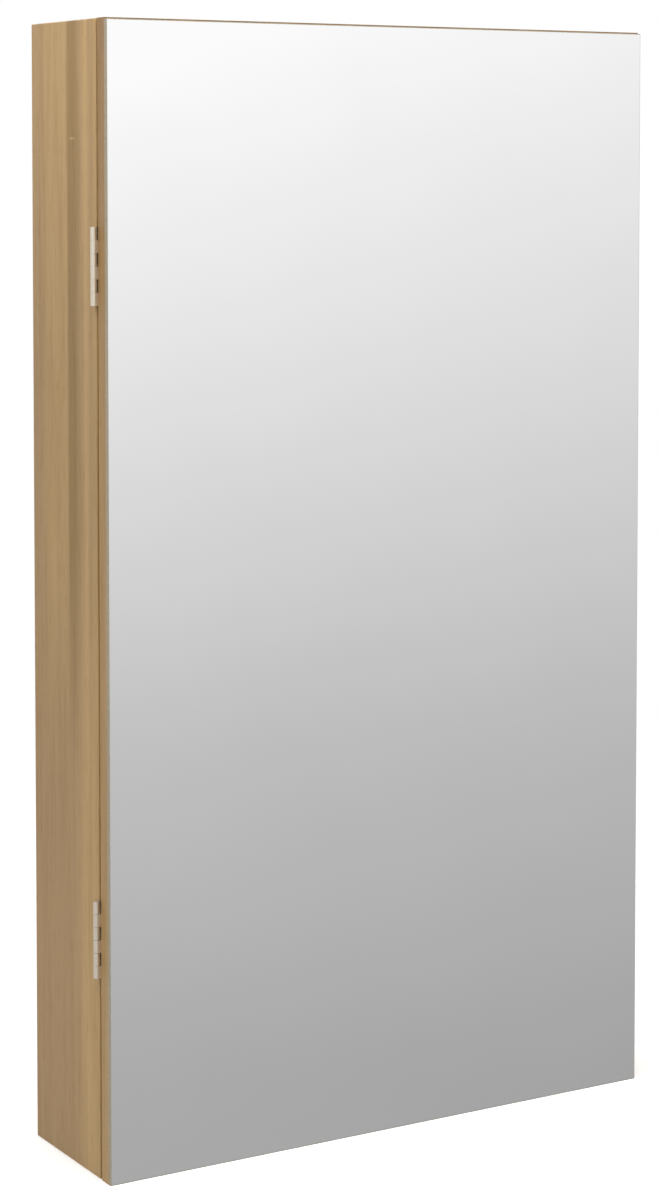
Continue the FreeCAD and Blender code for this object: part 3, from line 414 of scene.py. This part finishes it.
def edge_strips(tree, place, colour, low, high):
    """Darken a board's colour in the thin strips glued to its four narrow faces."""
    middle, reach = (low + high) / 2, (high - low) / 2
    away = add_node(tree, "VectorMath", {0: place, 1: middle}, operation="SUBTRACT")
    away = add_node(tree, "VectorMath", {0: away.outputs[0]}, operation="ABSOLUTE")
    away = add_node(tree, "SeparateXYZ", {0: away.outputs[0]})
    past = [add_node(tree, "Math", {0: away.outputs[axis], 1: limit - STRIP_THICK},
                     operation="GREATER_THAN").outputs[0]
            for axis, limit in (("X", reach.x), ("Z", reach.z))]
    strip = add_node(tree, "Math", {0: past[0], 1: past[1]}, operation="MAXIMUM").outputs[0]
    up = add_node(tree, "SeparateXYZ", {0: place}).outputs["Z"]
    risen = add_node(tree, "MapRange", {"Value": up, "From Min": low.z, "From Max": high.z})
    return blended(tree, strip, colour, ramp(tree, risen.outputs[0], UP_THE_STRIP), "MULTIPLY")


print("strips", STRIP_THICK / MM, "mm thick")

# %% [markdown]
# ## The foil itself
# Bands give the colour, and lines and pores are multiplied over it.  The pores also make the
# satin a little duller and dent it by a few hundredths of a millimetre.  The grain of a
# board runs along its length, so there is one foil for upright boards and one for level
# ones, and the side and the door have their own.

# %% Four oak foils
OAK = [(0.3, "#977B51"), (0.45, "#A3855A"), (0.6, "#AF9062"), (0.75, "#B89868")]
LINE_TINT = [(0.25, "#E6DED2"), (0.5, "#F8F6F3"), (0.75, "#FFFFFF")]
PORE_TINT = [(0.28, "#D8CBBB"), (0.36, "#FFFFFF")]


def oak_foil(name, along, own_bands=False, strips=None):
    """Printed oak foil with its grain along one axis.

    own_bands is for the side board; strips are the corners of a board with edge strips.
    """
    material, tree, shader = new_finish(name, Roughness=0.5, Specular_IOR_Level=0.32)
    place = add_node(tree, "TexCoord").outputs["Object"]
    bands = grain(tree, place, along, GRAIN_STRETCH, Scale=1 / BAND_WIDTH, Detail=2,
                  Distortion=0.4)
    colour = ramp(tree, bands, OAK)
    if own_bands:
        colour = side_print(tree, place, along, colour)
    if strips:
        colour = edge_strips(tree, place, colour, *strips)
    lines = grain(tree, place, along, GRAIN_STRETCH, Scale=1 / LINE_WIDTH, Detail=5,
                  Roughness=0.6, Distortion=0.3)
    colour = blended(tree, 1.0, colour, ramp(tree, lines, LINE_TINT), "MULTIPLY")
    pores = grain(tree, place, along, PORE_STRETCH, Scale=1 / PORE_WIDTH, Detail=1)
    colour = blended(tree, PORE_SHARE, colour, ramp(tree, pores, PORE_TINT), "MULTIPLY")
    tree.links.new(colour, shader.inputs["Base Color"])
    satin = add_node(tree, "MapRange", {"Value": pores, "From Min": 0.25, "From Max": 0.6,
                                        "To Min": 0.56, "To Max": 0.44})
    tree.links.new(satin.outputs[0], shader.inputs["Roughness"])
    dents = add_node(tree, "Bump", {"Height": pores, "Strength": 0.12, "Distance": PORE_DEPTH})
    tree.links.new(dents.outputs[0], shader.inputs["Normal"])
    return material


foil_upright = oak_foil("oak_foil_upright", "Z")
foil_side = oak_foil("oak_foil_side", "Z", own_bands=True)
foil_level = oak_foil("oak_foil_level", "X")
foil_door = oak_foil("oak_foil_door", "Z", strips=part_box("door_panel"))
print("four oak foils")

# %% [markdown]
# ## Boards that are bare
# Hardboard is wood fibre pressed hot until it is dark and smooth.  Bare particle board shows
# its chips.  Beech, used for dowels and turned parts, is pale with tiny darker flecks.

# %% Hardboard
FIBRE_TUFT, FIBRE_DEPTH, CLOUD = 1.5 * MM, 0.1 * MM, 70 * MM

hardboard, tree, shader = new_finish("pressed_hardboard", Roughness=0.62)
place = add_node(tree, "TexCoord").outputs["Object"]
fibres = add_node(tree, "TexNoise", {"Vector": place, "Scale": 1 / FIBRE_TUFT, "Detail": 6,
                                     "Roughness": 0.7}).outputs["Fac"]
clouds = add_node(tree, "TexNoise", {"Vector": place, "Scale": 1 / CLOUD,
                                     "Detail": 2}).outputs["Fac"]
speck = ramp(tree, fibres, [(0.3, "#5E4530"), (0.5, "#7A5B3F"), (0.72, "#937252")])
cloud = ramp(tree, clouds, [(0.3, "#E8E2DC"), (0.7, "#FFFFFF")])
tree.links.new(blended(tree, 1.0, speck, cloud, "MULTIPLY"), shader.inputs["Base Color"])
relief = add_node(tree, "Bump", {"Height": fibres, "Strength": 0.25, "Distance": FIBRE_DEPTH})
tree.links.new(relief.outputs[0], shader.inputs["Normal"])
print("hardboard with clouds", round(CLOUD / MM), "mm wide")

# %% Particle board
# chips are about 1.8 mm wide and three times as long
CHIP_WIDTH, CHIP_STRETCH, CHIP_DEPTH = 1.8 * MM, 0.35, 0.15 * MM

chipboard, tree, shader = new_finish("bare_particle_board", Roughness=0.8)
place = add_node(tree, "TexCoord").outputs["Object"]
along_chips = add_node(tree, "Mapping", {"Vector": place, "Scale": (CHIP_STRETCH, 1, 1)})
chips = add_node(tree, "TexVoronoi", {"Vector": along_chips.outputs[0],
                                      "Scale": 1 / CHIP_WIDTH})
pale = add_node(tree, "SeparateColor", {0: chips.outputs["Color"]}).outputs[0]
tree.links.new(ramp(tree, pale, [(0.0, "#A98A5E"), (0.5, "#C4A679"), (1.0, "#D8BE92")]),
               shader.inputs["Base Color"])
relief = add_node(tree, "Bump", {"Height": pale, "Strength": 0.3, "Distance": CHIP_DEPTH})
tree.links.new(relief.outputs[0], shader.inputs["Normal"])
print("particle board with chips", round(CHIP_WIDTH / MM, 1), "mm wide")

# %% Beech
FLECK_WIDTH, FLECK_SHARE, WAVE_WIDTH = 0.9 * MM, 0.6, 6 * MM


def beech(name, roughness, coat):
    """Turned beech with its small flecks along X."""
    material, tree, shader = new_finish(name, Roughness=roughness, Coat_Weight=coat,
                                        Coat_Roughness=0.25)
    place = add_node(tree, "TexCoord").outputs["Object"]
    flecks = grain(tree, place, "X", 0.2, Scale=1 / FLECK_WIDTH, Detail=2)
    waves = grain(tree, place, "X", 0.05, Scale=1 / WAVE_WIDTH, Detail=2)
    fleck = ramp(tree, flecks, [(0.32, "#C79E74"), (0.42, "#FFFFFF")])
    wave = ramp(tree, waves, [(0.3, "#C79B6E"), (0.7, "#DDB88C")])
    colour = blended(tree, FLECK_SHARE, wave, fleck, "MULTIPLY")
    tree.links.new(colour, shader.inputs["Base Color"])
    return material


beech_bare = beech("bare_beech", roughness=0.6, coat=0.0)
beech_lacquered = beech("lacquered_beech", roughness=0.45, coat=0.5)
print("bare and lacquered beech")

# %% [markdown]
# ## Velvet and flock
# Jewellery is held by black velvet so that metal doesn't scratch.  Its short pile scatters
# light at grazing angles, which Principled's sheen gives, and its nap is a fine noise.  The
# slotted earring panel is flocked plastic: the same pile, but shorter and with less sheen.

# %% Velvet and flock
# the pile lies in different directions from patch to patch
NAP_PATCH, NAP_DEPTH = 45 * MM, 0.2 * MM


def pile(name, dark, light, sheen, thread):
    """A short pile: thread is the distance between tufts."""
    material, tree, shader = new_finish(name, Roughness=0.95, Sheen_Weight=sheen,
                                        Sheen_Roughness=0.35, Specular_IOR_Level=0.15)
    shader.inputs["Sheen Tint"].default_value = linear("#C6C2C2")
    place = add_node(tree, "TexCoord").outputs["Object"]
    tufts = add_node(tree, "TexNoise", {"Vector": place, "Scale": 1 / thread, "Detail": 3,
                                        "Roughness": 0.65}).outputs["Fac"]
    brushed = add_node(tree, "TexNoise", {"Vector": place, "Scale": 1 / NAP_PATCH,
                                          "Detail": 1}).outputs["Fac"]
    laid = add_node(tree, "MapRange", {"Value": brushed, "To Min": 0.75, "To Max": 1.25})
    both = add_node(tree, "Math", {0: tufts, 1: laid.outputs[0]}, operation="MULTIPLY").outputs[0]
    tree.links.new(ramp(tree, both, [(0.3, dark), (0.7, light)]), shader.inputs["Base Color"])
    nap = add_node(tree, "Bump", {"Height": tufts, "Strength": 0.35, "Distance": NAP_DEPTH})
    tree.links.new(nap.outputs[0], shader.inputs["Normal"])
    return material


# pile tufts are 0.2 mm apart, drawn at 0.4 or 0.5 mm so that they show
velvet = pile("black_velvet", "#19181A", "#312F31", sheen=0.45, thread=0.5 * MM)
flock = pile("black_flock", "#1C1B1C", "#302F30", sheen=0.3, thread=0.4 * MM)
print("velvet and flock")

# %% [markdown]
# ## Metals
# The hinges are steel with a satin nickel plate, slightly warm; the hanging plates and some
# screws are zinc-plated, bluer and a little darker.  Both keep the metal's default index.
# Fine lines from rolling the strip are drawn as colour and roughness that vary across it.

# %% Nickel, zinc and the magnet's plate
def plated(name, dark, light, roughness, line):
    """Plated steel: line is the width of its rolling marks."""
    material, tree, shader = new_finish(name, Metallic=1.0, Roughness=roughness)
    place = add_node(tree, "TexCoord").outputs["Object"]
    marks = grain(tree, place, "Z", 0.06, Scale=1 / line, Detail=3)
    tree.links.new(ramp(tree, marks, [(0.3, dark), (0.7, light)]), shader.inputs["Base Color"])
    rough = add_node(tree, "MapRange", {"Value": marks, "From Min": 0.3, "From Max": 0.7,
                                        "To Min": roughness + 0.08, "To Max": roughness - 0.06})
    tree.links.new(rough.outputs[0], shader.inputs["Roughness"])
    return material


nickel = plated("nickel_plated_steel", "#D6CBB8", "#E8DECE", roughness=0.42, line=0.5 * MM)
zinc = plated("zinc_plated_steel", "#A9AEB3", "#C9CDD1", roughness=0.38, line=1.2 * MM)
magnet_plate = plated("bright_magnet_plate", "#C6C6C8", "#E2E2E4", roughness=0.16,
                      line=0.8 * MM)
print("three plated metals")

# %% [markdown]
# ## Mirror glass and clear plastic
# A mirror is float glass with silver on its back.  Seen from the front it is a nearly perfect
# and neutral reflector, so a metallic shader with very low roughness stands for the whole
# pane.  Its ground edges are matt and look a warm grey, because they scatter the colour of
# the board behind them.  The bumpers are soft clear plastic.

# %% Silvered face, ground edge and clear bumper
HAZE, RUB, SWIRL = 90 * MM, 0.8 * MM, 2 * MM

silvered, tree, shader = new_finish("silvered_float_glass", Metallic=1.0, Roughness=0.015)
place = add_node(tree, "TexCoord").outputs["Object"]
haze = add_node(tree, "TexNoise", {"Vector": place, "Scale": 1 / HAZE,
                                   "Detail": 2}).outputs["Fac"]
tree.links.new(ramp(tree, haze, [(0.3, "#FAFAFA"), (0.7, "#FCFCFC")]),
               shader.inputs["Base Color"])

ground_edge, tree, shader = new_finish("ground_glass_edge", Roughness=0.42)
place = add_node(tree, "TexCoord").outputs["Object"]
rub = add_node(tree, "TexNoise", {"Vector": place, "Scale": 1 / RUB,
                                  "Detail": 3}).outputs["Fac"]
tree.links.new(ramp(tree, rub, [(0.3, "#8A7F6B"), (0.7, "#A0957F")]), shader.inputs["Base Color"])

clear_soft, tree, shader = new_finish("clear_soft_plastic", Roughness=0.12,
                                      Transmission_Weight=0.85, IOR=1.49)
place = add_node(tree, "TexCoord").outputs["Object"]
swirl = add_node(tree, "TexNoise", {"Vector": place, "Scale": 1 / SWIRL}).outputs["Fac"]
tree.links.new(ramp(tree, swirl, [(0.3, "#E9EBEB"), (0.7, "#F4F6F6")]),
               shader.inputs["Base Color"])
print("mirror, its edge and clear plastic")

# %% [markdown]
# ## Dress the CAD pieces
# Every CAD node carries a named material slot.  The slot says what the piece is made of, and
# the tables below choose the finish for it.  The grain of a board runs along its length, so
# level boards get the foil whose grain runs along X.

# %% Give every node its finish
SLOT_FINISH = {
    "oak_foil": foil_upright,
    "oak_foil_inside": foil_level,
    "hardboard": hardboard,
    "raw_particle_board": chipboard,
    "beech": beech_bare,
    "lacquered_beech": beech_lacquered,
    "velvet": velvet,
    "flocked_panel": flock,
    "mirror_glass": silvered,
    "nickel_plate": nickel,
    "zinc_steel": zinc,
    "magnet": magnet_plate,
    "clear_bumper": clear_soft,
}
NODE_FINISH = {
    "left_side": foil_side,
    "door_panel": foil_door,
    "top_panel": foil_level,
    "bottom_panel": foil_level,
}
slot_of = {part["node"]: part["material_slot"] for part in frame["record"]["subparts"]}
for name, piece in nodes.items():
    finish = NODE_FINISH.get(name, SLOT_FINISH[slot_of[name]])
    piece.data.materials.clear()
    piece.data.materials.append(finish)
print(len(nodes), "nodes dressed")

# %% [markdown]
# ## A helper for new pieces
# Each new piece is one mesh whose object stays at the origin.  The helper turns a bmesh into
# an object, gives it its finish and slot, hides the CAD node that it stands for, and makes it
# ride on its body so that it follows the door.

# %% New piece helper
TOUCHING = 0.001 * MM


def finish_piece(name, shape, finishes, node, smooth_angle=40):
    """Make the bmesh an object that replaces a CAD node and rides with it."""
    bmesh.ops.remove_doubles(shape, verts=shape.verts, dist=TOUCHING)
    bmesh.ops.recalc_face_normals(shape, faces=shape.faces)
    mesh = bpy.data.meshes.new(name)
    shape.to_mesh(mesh)
    shape.free()
    for finish in finishes:
        mesh.materials.append(finish)
    mesh.shade_smooth()
    mesh.set_sharp_from_angle(angle=math.radians(smooth_angle))
    piece = bpy.data.objects.new(name, mesh)
    bpy.context.scene.collection.objects.link(piece)
    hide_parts(node)
    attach(piece, nodes[node]["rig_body"])
    print(f"{name}: {len(mesh.polygons)} faces for {node}")
    return piece


def box_shape(low, high):
    """A bmesh box between two corners."""
    shape = bmesh.new()
    bmesh.ops.create_cube(shape, size=1)
    bmesh.ops.scale(shape, verts=shape.verts, vec=high - low)
    bmesh.ops.translate(shape, verts=shape.verts, vec=(low + high) / 2)
    return shape


def front_edges(shape, low):
    """The edges in the plane of a box's front."""
    return [edge for edge in shape.edges if all(v.co.y < low.y + TOUCHING for v in edge.verts)]


print("points closer than", TOUCHING / MM, "mm count as one")

# %% [markdown]
# ## The mirror
# The pane covers the whole door.  Its edges are ground and its front corner has a narrow
# bevel, the arris, that catches a line of light.  A box with its front edges bevelled is
# enough; the faces that look straight out of the front or the back are silvered, and the
# others get the ground finish.

# %% Mirror pane
ARRIS = 0.5 * MM
low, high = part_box("mirror")
pane = box_shape(low, high)
bmesh.ops.bevel(pane, geom=front_edges(pane, low), offset=ARRIS, segments=2, profile=0.5,
                affect="EDGES", material=-1)
for face in pane.faces:
    face.material_index = 0 if abs(face.normal.y) > 0.999 else 1
finish_piece("mirror_pane", pane, [silvered, ground_edge], "mirror", smooth_angle=20)

# %% [markdown]
# ## Lathe-turned pieces
# The rod's cups, the rod, the bumpers and the magnets are round.  A lathe cuts a profile while
# the piece turns; spinning half a section round an axis is the same thing.  The profile is a
# chain of edges, and the spin sweeps it through a full turn and merges its ends.

# %% Turning helper
def turned(profile, axis, centre, steps=48):
    """Spin a profile of (along, radius) pairs in mm round an axis through a centre."""
    shape = bmesh.new()
    along = Vector(axis)
    out = Vector((0, 0, 1))
    chain = [shape.verts.new(centre + along * a * MM + out * r * MM) for a, r in profile]
    edges = [shape.edges.new(pair) for pair in zip(chain, chain[1:])]
    bmesh.ops.spin(shape, geom=chain + edges, cent=centre, axis=along, angle=math.tau,
                   steps=steps, use_merge=True)
    return shape


def joined(*shapes):
    """All shapes in the first one."""
    first = shapes[0]
    for other in shapes[1:]:
        mesh = bpy.data.meshes.new("part")
        other.to_mesh(mesh)
        other.free()
        first.from_mesh(mesh)
        bpy.data.meshes.remove(mesh)
    return first


# %% Rod, cups, bumpers and magnets
ROD_RADIUS = 6.0
CUP_RADIUS, CUP_LENGTH, CUP_FLOOR, CUP_BORE = 11.0, 9.0, 2.0, 6.1
SPIGOT_RADIUS, SPIGOT_LENGTH = 3.9, 7.0
# from the floor of the bore, over the rim and the rounded outside, to the end of the spigot
CUP_PROFILE = [(CUP_FLOOR, 0), (CUP_FLOOR, CUP_BORE), (CUP_LENGTH - 0.5, CUP_BORE),
               (CUP_LENGTH, CUP_BORE + 0.5), (CUP_LENGTH, CUP_RADIUS - 2),
               (CUP_LENGTH - 0.3, CUP_RADIUS - 1.1), (CUP_LENGTH - 1, CUP_RADIUS - 0.4),
               (CUP_LENGTH - 2, CUP_RADIUS), (0.4, CUP_RADIUS), (0, CUP_RADIUS - 0.4),
               (0, SPIGOT_RADIUS), (-SPIGOT_LENGTH, SPIGOT_RADIUS), (-SPIGOT_LENGTH, 0)]
rod_low, rod_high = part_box("bracelet_rod")
rod_centre = (rod_low + rod_high) / 2
half_rod = (rod_high.x - rod_low.x) / 2 / MM
for side, node in ((-1, "rod_cup_left"), (1, "rod_cup_right")):
    low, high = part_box(node)
    wall_x = (high.x if side < 0 else low.x) + side * CUP_LENGTH * MM
    cup = turned(CUP_PROFILE, (-side, 0, 0), Vector((wall_x, rod_centre.y, rod_centre.z)))
    finish_piece(node + "_turned", cup, [beech_lacquered], node)
rod_profile = [(-half_rod, 0), (-half_rod, ROD_RADIUS - 1), (-half_rod + 0.3, ROD_RADIUS - 0.3),
               (-half_rod + 1, ROD_RADIUS), (half_rod - 1, ROD_RADIUS),
               (half_rod - 0.3, ROD_RADIUS - 0.3), (half_rod, ROD_RADIUS - 1), (half_rod, 0)]
finish_piece("bracelet_rod_turned", turned(rod_profile, (1, 0, 0), rod_centre),
             [beech_lacquered], "bracelet_rod")


def pair_of(node, profile):
    """The same turned piece, along Y from its front, at both ends of a node that holds two."""
    low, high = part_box(node)
    radius = (high.x - low.x) / 2
    x = (low.x + high.x) / 2
    places = [Vector((x, low.y, z)) for z in (low.z + radius, high.z - radius)]
    return joined(*[turned(profile, (0, 1, 0), place, steps=32) for place in places])


BUMPER = [(0, 0), (0, 4.0), (0.5, 3.95), (1.0, 3.7), (1.4, 3.1), (1.65, 2.2), (1.78, 1.1),
          (1.8, 0)]
finish_piece("door_bumper_domes", pair_of("door_bumpers", BUMPER), [clear_soft],
             "door_bumpers", smooth_angle=60)
MAGNET = [(0, 0), (0, 3.6), (0.1, 3.85), (0.4, 4.0), (6.0, 4.0), (6.0, 0)]
finish_piece("catch_magnet_discs", pair_of("catch_magnets", MAGNET), [magnet_plate],
             "catch_magnets", smooth_angle=30)

# %% [markdown]
# ## Wire hooks
# Each hook is one length of plated wire that leaves the bar straight, turns up through a
# quarter circle and ends in a small bead.  A disc is extruded along the straight parts and
# spun through the bend, which is how a wire is really formed, and the bead is a sphere.

# %% Hooks
# the bead's diameter; all sizes of a hook are in mm
BEAD = 3.8


def hook(wire, embed, straight, bend, tip, way):
    """One hook whose wire leaves the bar at the origin along way, +1 or -1 on Y."""
    shape = bmesh.new()
    ring = bmesh.ops.create_circle(shape, segments=14, radius=wire / 2 * MM, cap_ends=True)
    bmesh.ops.rotate(shape, verts=ring["verts"], matrix=Matrix.Rotation(math.pi / 2, 3, "X"))
    bmesh.ops.translate(shape, verts=ring["verts"], vec=(0, -way * embed * MM, 0))
    face = next(iter(shape.faces))

    def pull(face, step):
        made = bmesh.ops.extrude_face_region(shape, geom=[face])
        end = next(g for g in made["geom"] if isinstance(g, bmesh.types.BMFace))
        bmesh.ops.translate(shape, verts=end.verts[:], vec=step)
        return end

    face = pull(face, Vector((0, way * (embed + straight) * MM, 0)))
    bent = bmesh.ops.spin(shape, geom=[face], cent=(0, way * straight * MM, bend * MM),
                          axis=(1, 0, 0), angle=way * math.pi / 2, steps=9)
    face = next(g for g in bent["geom_last"] if isinstance(g, bmesh.types.BMFace))
    pull(face, Vector((0, 0, tip * MM)))
    bead = bmesh.ops.create_uvsphere(shape, u_segments=16, v_segments=10, radius=BEAD / 2 * MM)
    top = Vector((0, way * (straight + bend) * MM, (bend + tip + BEAD / 2) * MM))
    bmesh.ops.translate(shape, verts=bead["verts"], vec=top)
    return shape


def hook_row(name, node, count, pitch, front, level, **sizes):
    """A row of hooks for a node, spaced evenly round x = 0."""
    row = []
    for number in range(count):
        one = hook(**sizes)
        x = (number - (count - 1) / 2) * pitch * MM
        bmesh.ops.translate(one, verts=one.verts, vec=(x, front, level))
        row.append(one)
    return finish_piece(name, joined(*row), [nickel], node, smooth_angle=50)


rail_low, rail_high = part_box("necklace_rail")
hook_row("necklace_wire_hooks", "necklace_hooks", count=10, pitch=32, front=rail_low.y,
         level=(rail_low.z + rail_high.z) / 2, wire=2.2, embed=8, straight=6, bend=6, tip=3,
         way=-1)
strip_low, strip_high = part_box("door_hook_strip")
hook_row("door_wire_hooks", "door_hooks", count=8, pitch=36, front=strip_high.y,
         level=(strip_low.z + strip_high.z) / 2, wire=2.0, embed=5, straight=3, bend=4, tip=2,
         way=1)

# %% [markdown]
# ## Countersunk screws
# Every screw head shows a cross recess.  Four cuts each way across a disc mark out the cross,
# its faces are pushed in, and the disc's rim is drawn down into the cone and the shank.

# %% Screw helpers
# half the cross's width, its reach and its depth, as shares of the head's diameter
CROSS_HALF, CROSS_ARM, CROSS_DEPTH = 0.08, 0.31, 0.22
# the cross narrows towards its floor, and the shank ends in a short point
CROSS_TAPER = 0.8
POINT_LENGTH, POINT_SHARE = 1.4, 0.1
# each screw was turned in to another angle, in radians
NEXT_TURN = 0.7


def screw(diameter, head, length, way):
    """A screw with its head at the origin that runs along way on Y."""
    shape = bmesh.new()
    bmesh.ops.create_circle(shape, segments=24, radius=head / 2 * MM, cap_ends=True)
    slot_half, arm = head * CROSS_HALF * MM, head * CROSS_ARM * MM
    for axis in ((1, 0, 0), (0, 1, 0)):
        for offset in (-arm, -slot_half, slot_half, arm):
            bmesh.ops.bisect_plane(shape, geom=shape.verts[:] + shape.edges[:] + shape.faces[:],
                                   plane_co=Vector(axis) * offset, plane_no=axis)
    rim = [edge for edge in shape.edges if edge.is_boundary]
    middles = {face: face.calc_center_median() for face in shape.faces}
    cross = [face for face, m in middles.items()
             if min(abs(m.x), abs(m.y)) < slot_half and max(abs(m.x), abs(m.y)) < arm]
    sunk = bmesh.ops.extrude_face_region(shape, geom=cross)
    bmesh.ops.delete(shape, geom=cross, context="FACES")
    floor_verts = [g for g in sunk["geom"] if isinstance(g, bmesh.types.BMVert)]
    bmesh.ops.translate(shape, verts=floor_verts, vec=(0, 0, -head * CROSS_DEPTH * MM))
    bmesh.ops.scale(shape, verts=floor_verts, vec=(CROSS_TAPER, CROSS_TAPER, 1))
    # the cone, the shank and the point: how deep each goes, and how much it narrows
    cone = (head - diameter) / 2
    drops = [(cone, diameter / head), (length - cone - POINT_LENGTH, 1),
             (POINT_LENGTH, POINT_SHARE)]
    for drop, narrow in drops:
        made = bmesh.ops.extrude_edge_only(shape, edges=rim)["geom"]
        rim = [g for g in made if isinstance(g, bmesh.types.BMEdge)]
        ring = [g for g in made if isinstance(g, bmesh.types.BMVert)]
        bmesh.ops.translate(shape, verts=ring, vec=(0, 0, -drop * MM))
        bmesh.ops.scale(shape, verts=ring, vec=(narrow, narrow, 1))
    bmesh.ops.holes_fill(shape, edges=rim)
    turn = Matrix.Rotation(math.pi / 2 * way, 3, "X")
    bmesh.ops.rotate(shape, verts=shape.verts, matrix=turn)
    return shape


def screw_set(name, node, places, finish, **sizes):
    """The screws of one node, each at its own place."""
    made = []
    for number, place in enumerate(places):
        one = screw(**sizes)
        bmesh.ops.rotate(one, verts=one.verts, matrix=Matrix.Rotation(NEXT_TURN * number, 3, "Y"))
        bmesh.ops.translate(one, verts=one.verts, vec=place)
        made.append(one)
    return finish_piece(name, joined(*made), [finish], node, smooth_angle=35)


print("a cross is", round(CROSS_DEPTH * 100), "percent of its head's diameter deep")

# %% Every screw in its place
HINGE_HEAD, HINGE_SCREW, HINGE_SPREAD = 3.6, 2.0, 29
for node, way, length in (("case_hinge_screws", 1, 10), ("door_hinge_screws", -1, 7)):
    low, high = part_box(node)
    x = (low.x + high.x) / 2
    y = low.y if way > 0 else high.y
    heights = []
    for end, step in ((low.z + HINGE_HEAD / 2 * MM, 1), (high.z - HINGE_HEAD / 2 * MM, -1)):
        heights += [end, end + step * HINGE_SPREAD * MM]
    screw_set(node + "_cross", node, [Vector((x, y, z)) for z in heights], nickel,
              diameter=HINGE_SCREW, head=HINGE_HEAD, length=length, way=way)

low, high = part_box("keyhole_screws")
PLATE_HEAD, PLATE_SCREW, PLATE_SPREAD = 4.6, 2.4, 32
across = [low.x + PLATE_HEAD / 2 * MM, high.x - PLATE_HEAD / 2 * MM]
across += [across[0] + PLATE_SPREAD * MM, across[1] - PLATE_SPREAD * MM]
screw_set("keyhole_screws_cross", "keyhole_screws",
          [Vector((x, high.y, (low.z + high.z) / 2)) for x in across], zinc,
          diameter=PLATE_SCREW, head=PLATE_HEAD, length=7, way=-1)
low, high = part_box("strike_screws")
screw_set("strike_screws_cross", "strike_screws",
          [Vector(((low.x + high.x) / 2, high.y, z))
           for z in (low.z + HINGE_HEAD / 2 * MM, high.z - HINGE_HEAD / 2 * MM)], zinc,
          diameter=HINGE_SCREW, head=HINGE_HEAD, length=7, way=-1)

# %% [markdown]
# ## Velvet lining
# A card wrapped in velvet lies against the back.  Its wrapped edges are round, so a box with
# its front edges bevelled in three steps stands for it.

# %% Lining
CARD_ROUND = 1.0 * MM

low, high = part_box("back_lining")
card = box_shape(low, high)
bmesh.ops.bevel(card, geom=front_edges(card, low), offset=CARD_ROUND, segments=3,
                profile=0.5, affect="EDGES", material=-1)
finish_piece("velvet_lining_card", card, [velvet], "back_lining", smooth_angle=60)

# %% [markdown]
# ## Padded ring rolls
# Seven foam rolls wrapped in velvet hold rings in the slits between them.  One roll is made
# as a rounded bar a little smaller than its space, remeshed into even quads, and blown up by
# the cloth solver with a small pressure, so that it crowns softly between its drawn-in ends.
# The seven rolls are identical, so the others are copies of its mesh.

# %% One roll, blown up by the cloth solver
ROLL_INSET = Vector((1.2, 0, 0.7)) * MM
# how far the front's round reaches, as a share of the roll's height
ROLL_ROUND = 0.42
ROLL_VOXEL = 3.2 * MM
ROLL_PRESSURE = 4
# no point moves further than this
ROLL_CAP = 1.0 * MM
ROLL_FRAMES = 20


def roll_shape(low, high):
    """A bar with a round front, inside the roll's own space."""
    shape = box_shape(low + ROLL_INSET, high - ROLL_INSET)
    long_ones = [edge for edge in front_edges(shape, low)
                 if abs(edge.verts[0].co.x - edge.verts[1].co.x) > MM]
    bmesh.ops.bevel(shape, geom=long_ones, offset=(high.z - low.z) * ROLL_ROUND, segments=6,
                    profile=0.5, affect="EDGES", material=-1)
    return shape


def applied(piece):
    """Turn the piece's modifiers into mesh."""
    bpy.context.view_layer.update()
    graph = bpy.context.evaluated_depsgraph_get()
    mesh = bpy.data.meshes.new_from_object(piece.evaluated_get(graph))
    piece.modifiers.clear()
    piece.data = mesh
    return piece


roll_names = [f"ring_roll_{number}" for number in range(1, 8)]
first_low, first_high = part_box(roll_names[0])
shape = roll_shape(first_low, first_high)
mesh = bpy.data.meshes.new("roll_blank")
shape.to_mesh(mesh)
shape.free()
blank = bpy.data.objects.new("roll_blank", mesh)
bpy.context.scene.collection.objects.link(blank)
remesh = blank.modifiers.new("even_quads", "REMESH")
remesh.mode = "VOXEL"
remesh.voxel_size = ROLL_VOXEL
applied(blank)
start = [v.co.copy() for v in blank.data.vertices]
cloth = blank.modifiers.new("puff", "CLOTH")
cloth.settings.use_pressure = True
cloth.settings.uniform_pressure_force = ROLL_PRESSURE
cloth.settings.effector_weights.gravity = 0
scene = bpy.context.scene
for number in range(1, ROLL_FRAMES + 1):
    scene.frame_set(number)
applied(blank)
scene.frame_set(1)
for vertex, before in zip(blank.data.vertices, start):
    moved = vertex.co - before
    if moved.length > ROLL_CAP:
        vertex.co = before + moved.normalized() * ROLL_CAP
blank.modifiers.new("round", "SUBSURF").levels = 1
blank.modifiers["round"].render_levels = 1
applied(blank)
print("one roll:", len(blank.data.polygons), "faces")

# %% Seven rolls
for name in roll_names:
    low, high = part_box(name)
    shape = bmesh.new()
    shape.from_mesh(blank.data)
    bmesh.ops.translate(shape, verts=shape.verts, vec=low - first_low)
    # a point that swelled past the roll's own space goes back to its face
    for vertex in shape.verts:
        vertex.co = Vector([min(max(c, a), b) for c, a, b in zip(vertex.co, low, high)])
    roll = finish_piece(name + "_padded", shape, [velvet], name, smooth_angle=180)
bpy.data.objects.remove(blank)

# %% [markdown]
# ## Sizes
# The CAD box and the dressed box are kept side by side and the dressed one is printed, so
# that a change that dressing made to the size of the cabinet would show.

# %% Sizes
size = {"cad": [list(corner) for corner in cad_box],
        "visual": [list(corner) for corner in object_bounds()]}
print("visual box in mm:", [[round(v / MM, 1) for v in corner] for corner in size["visual"]])
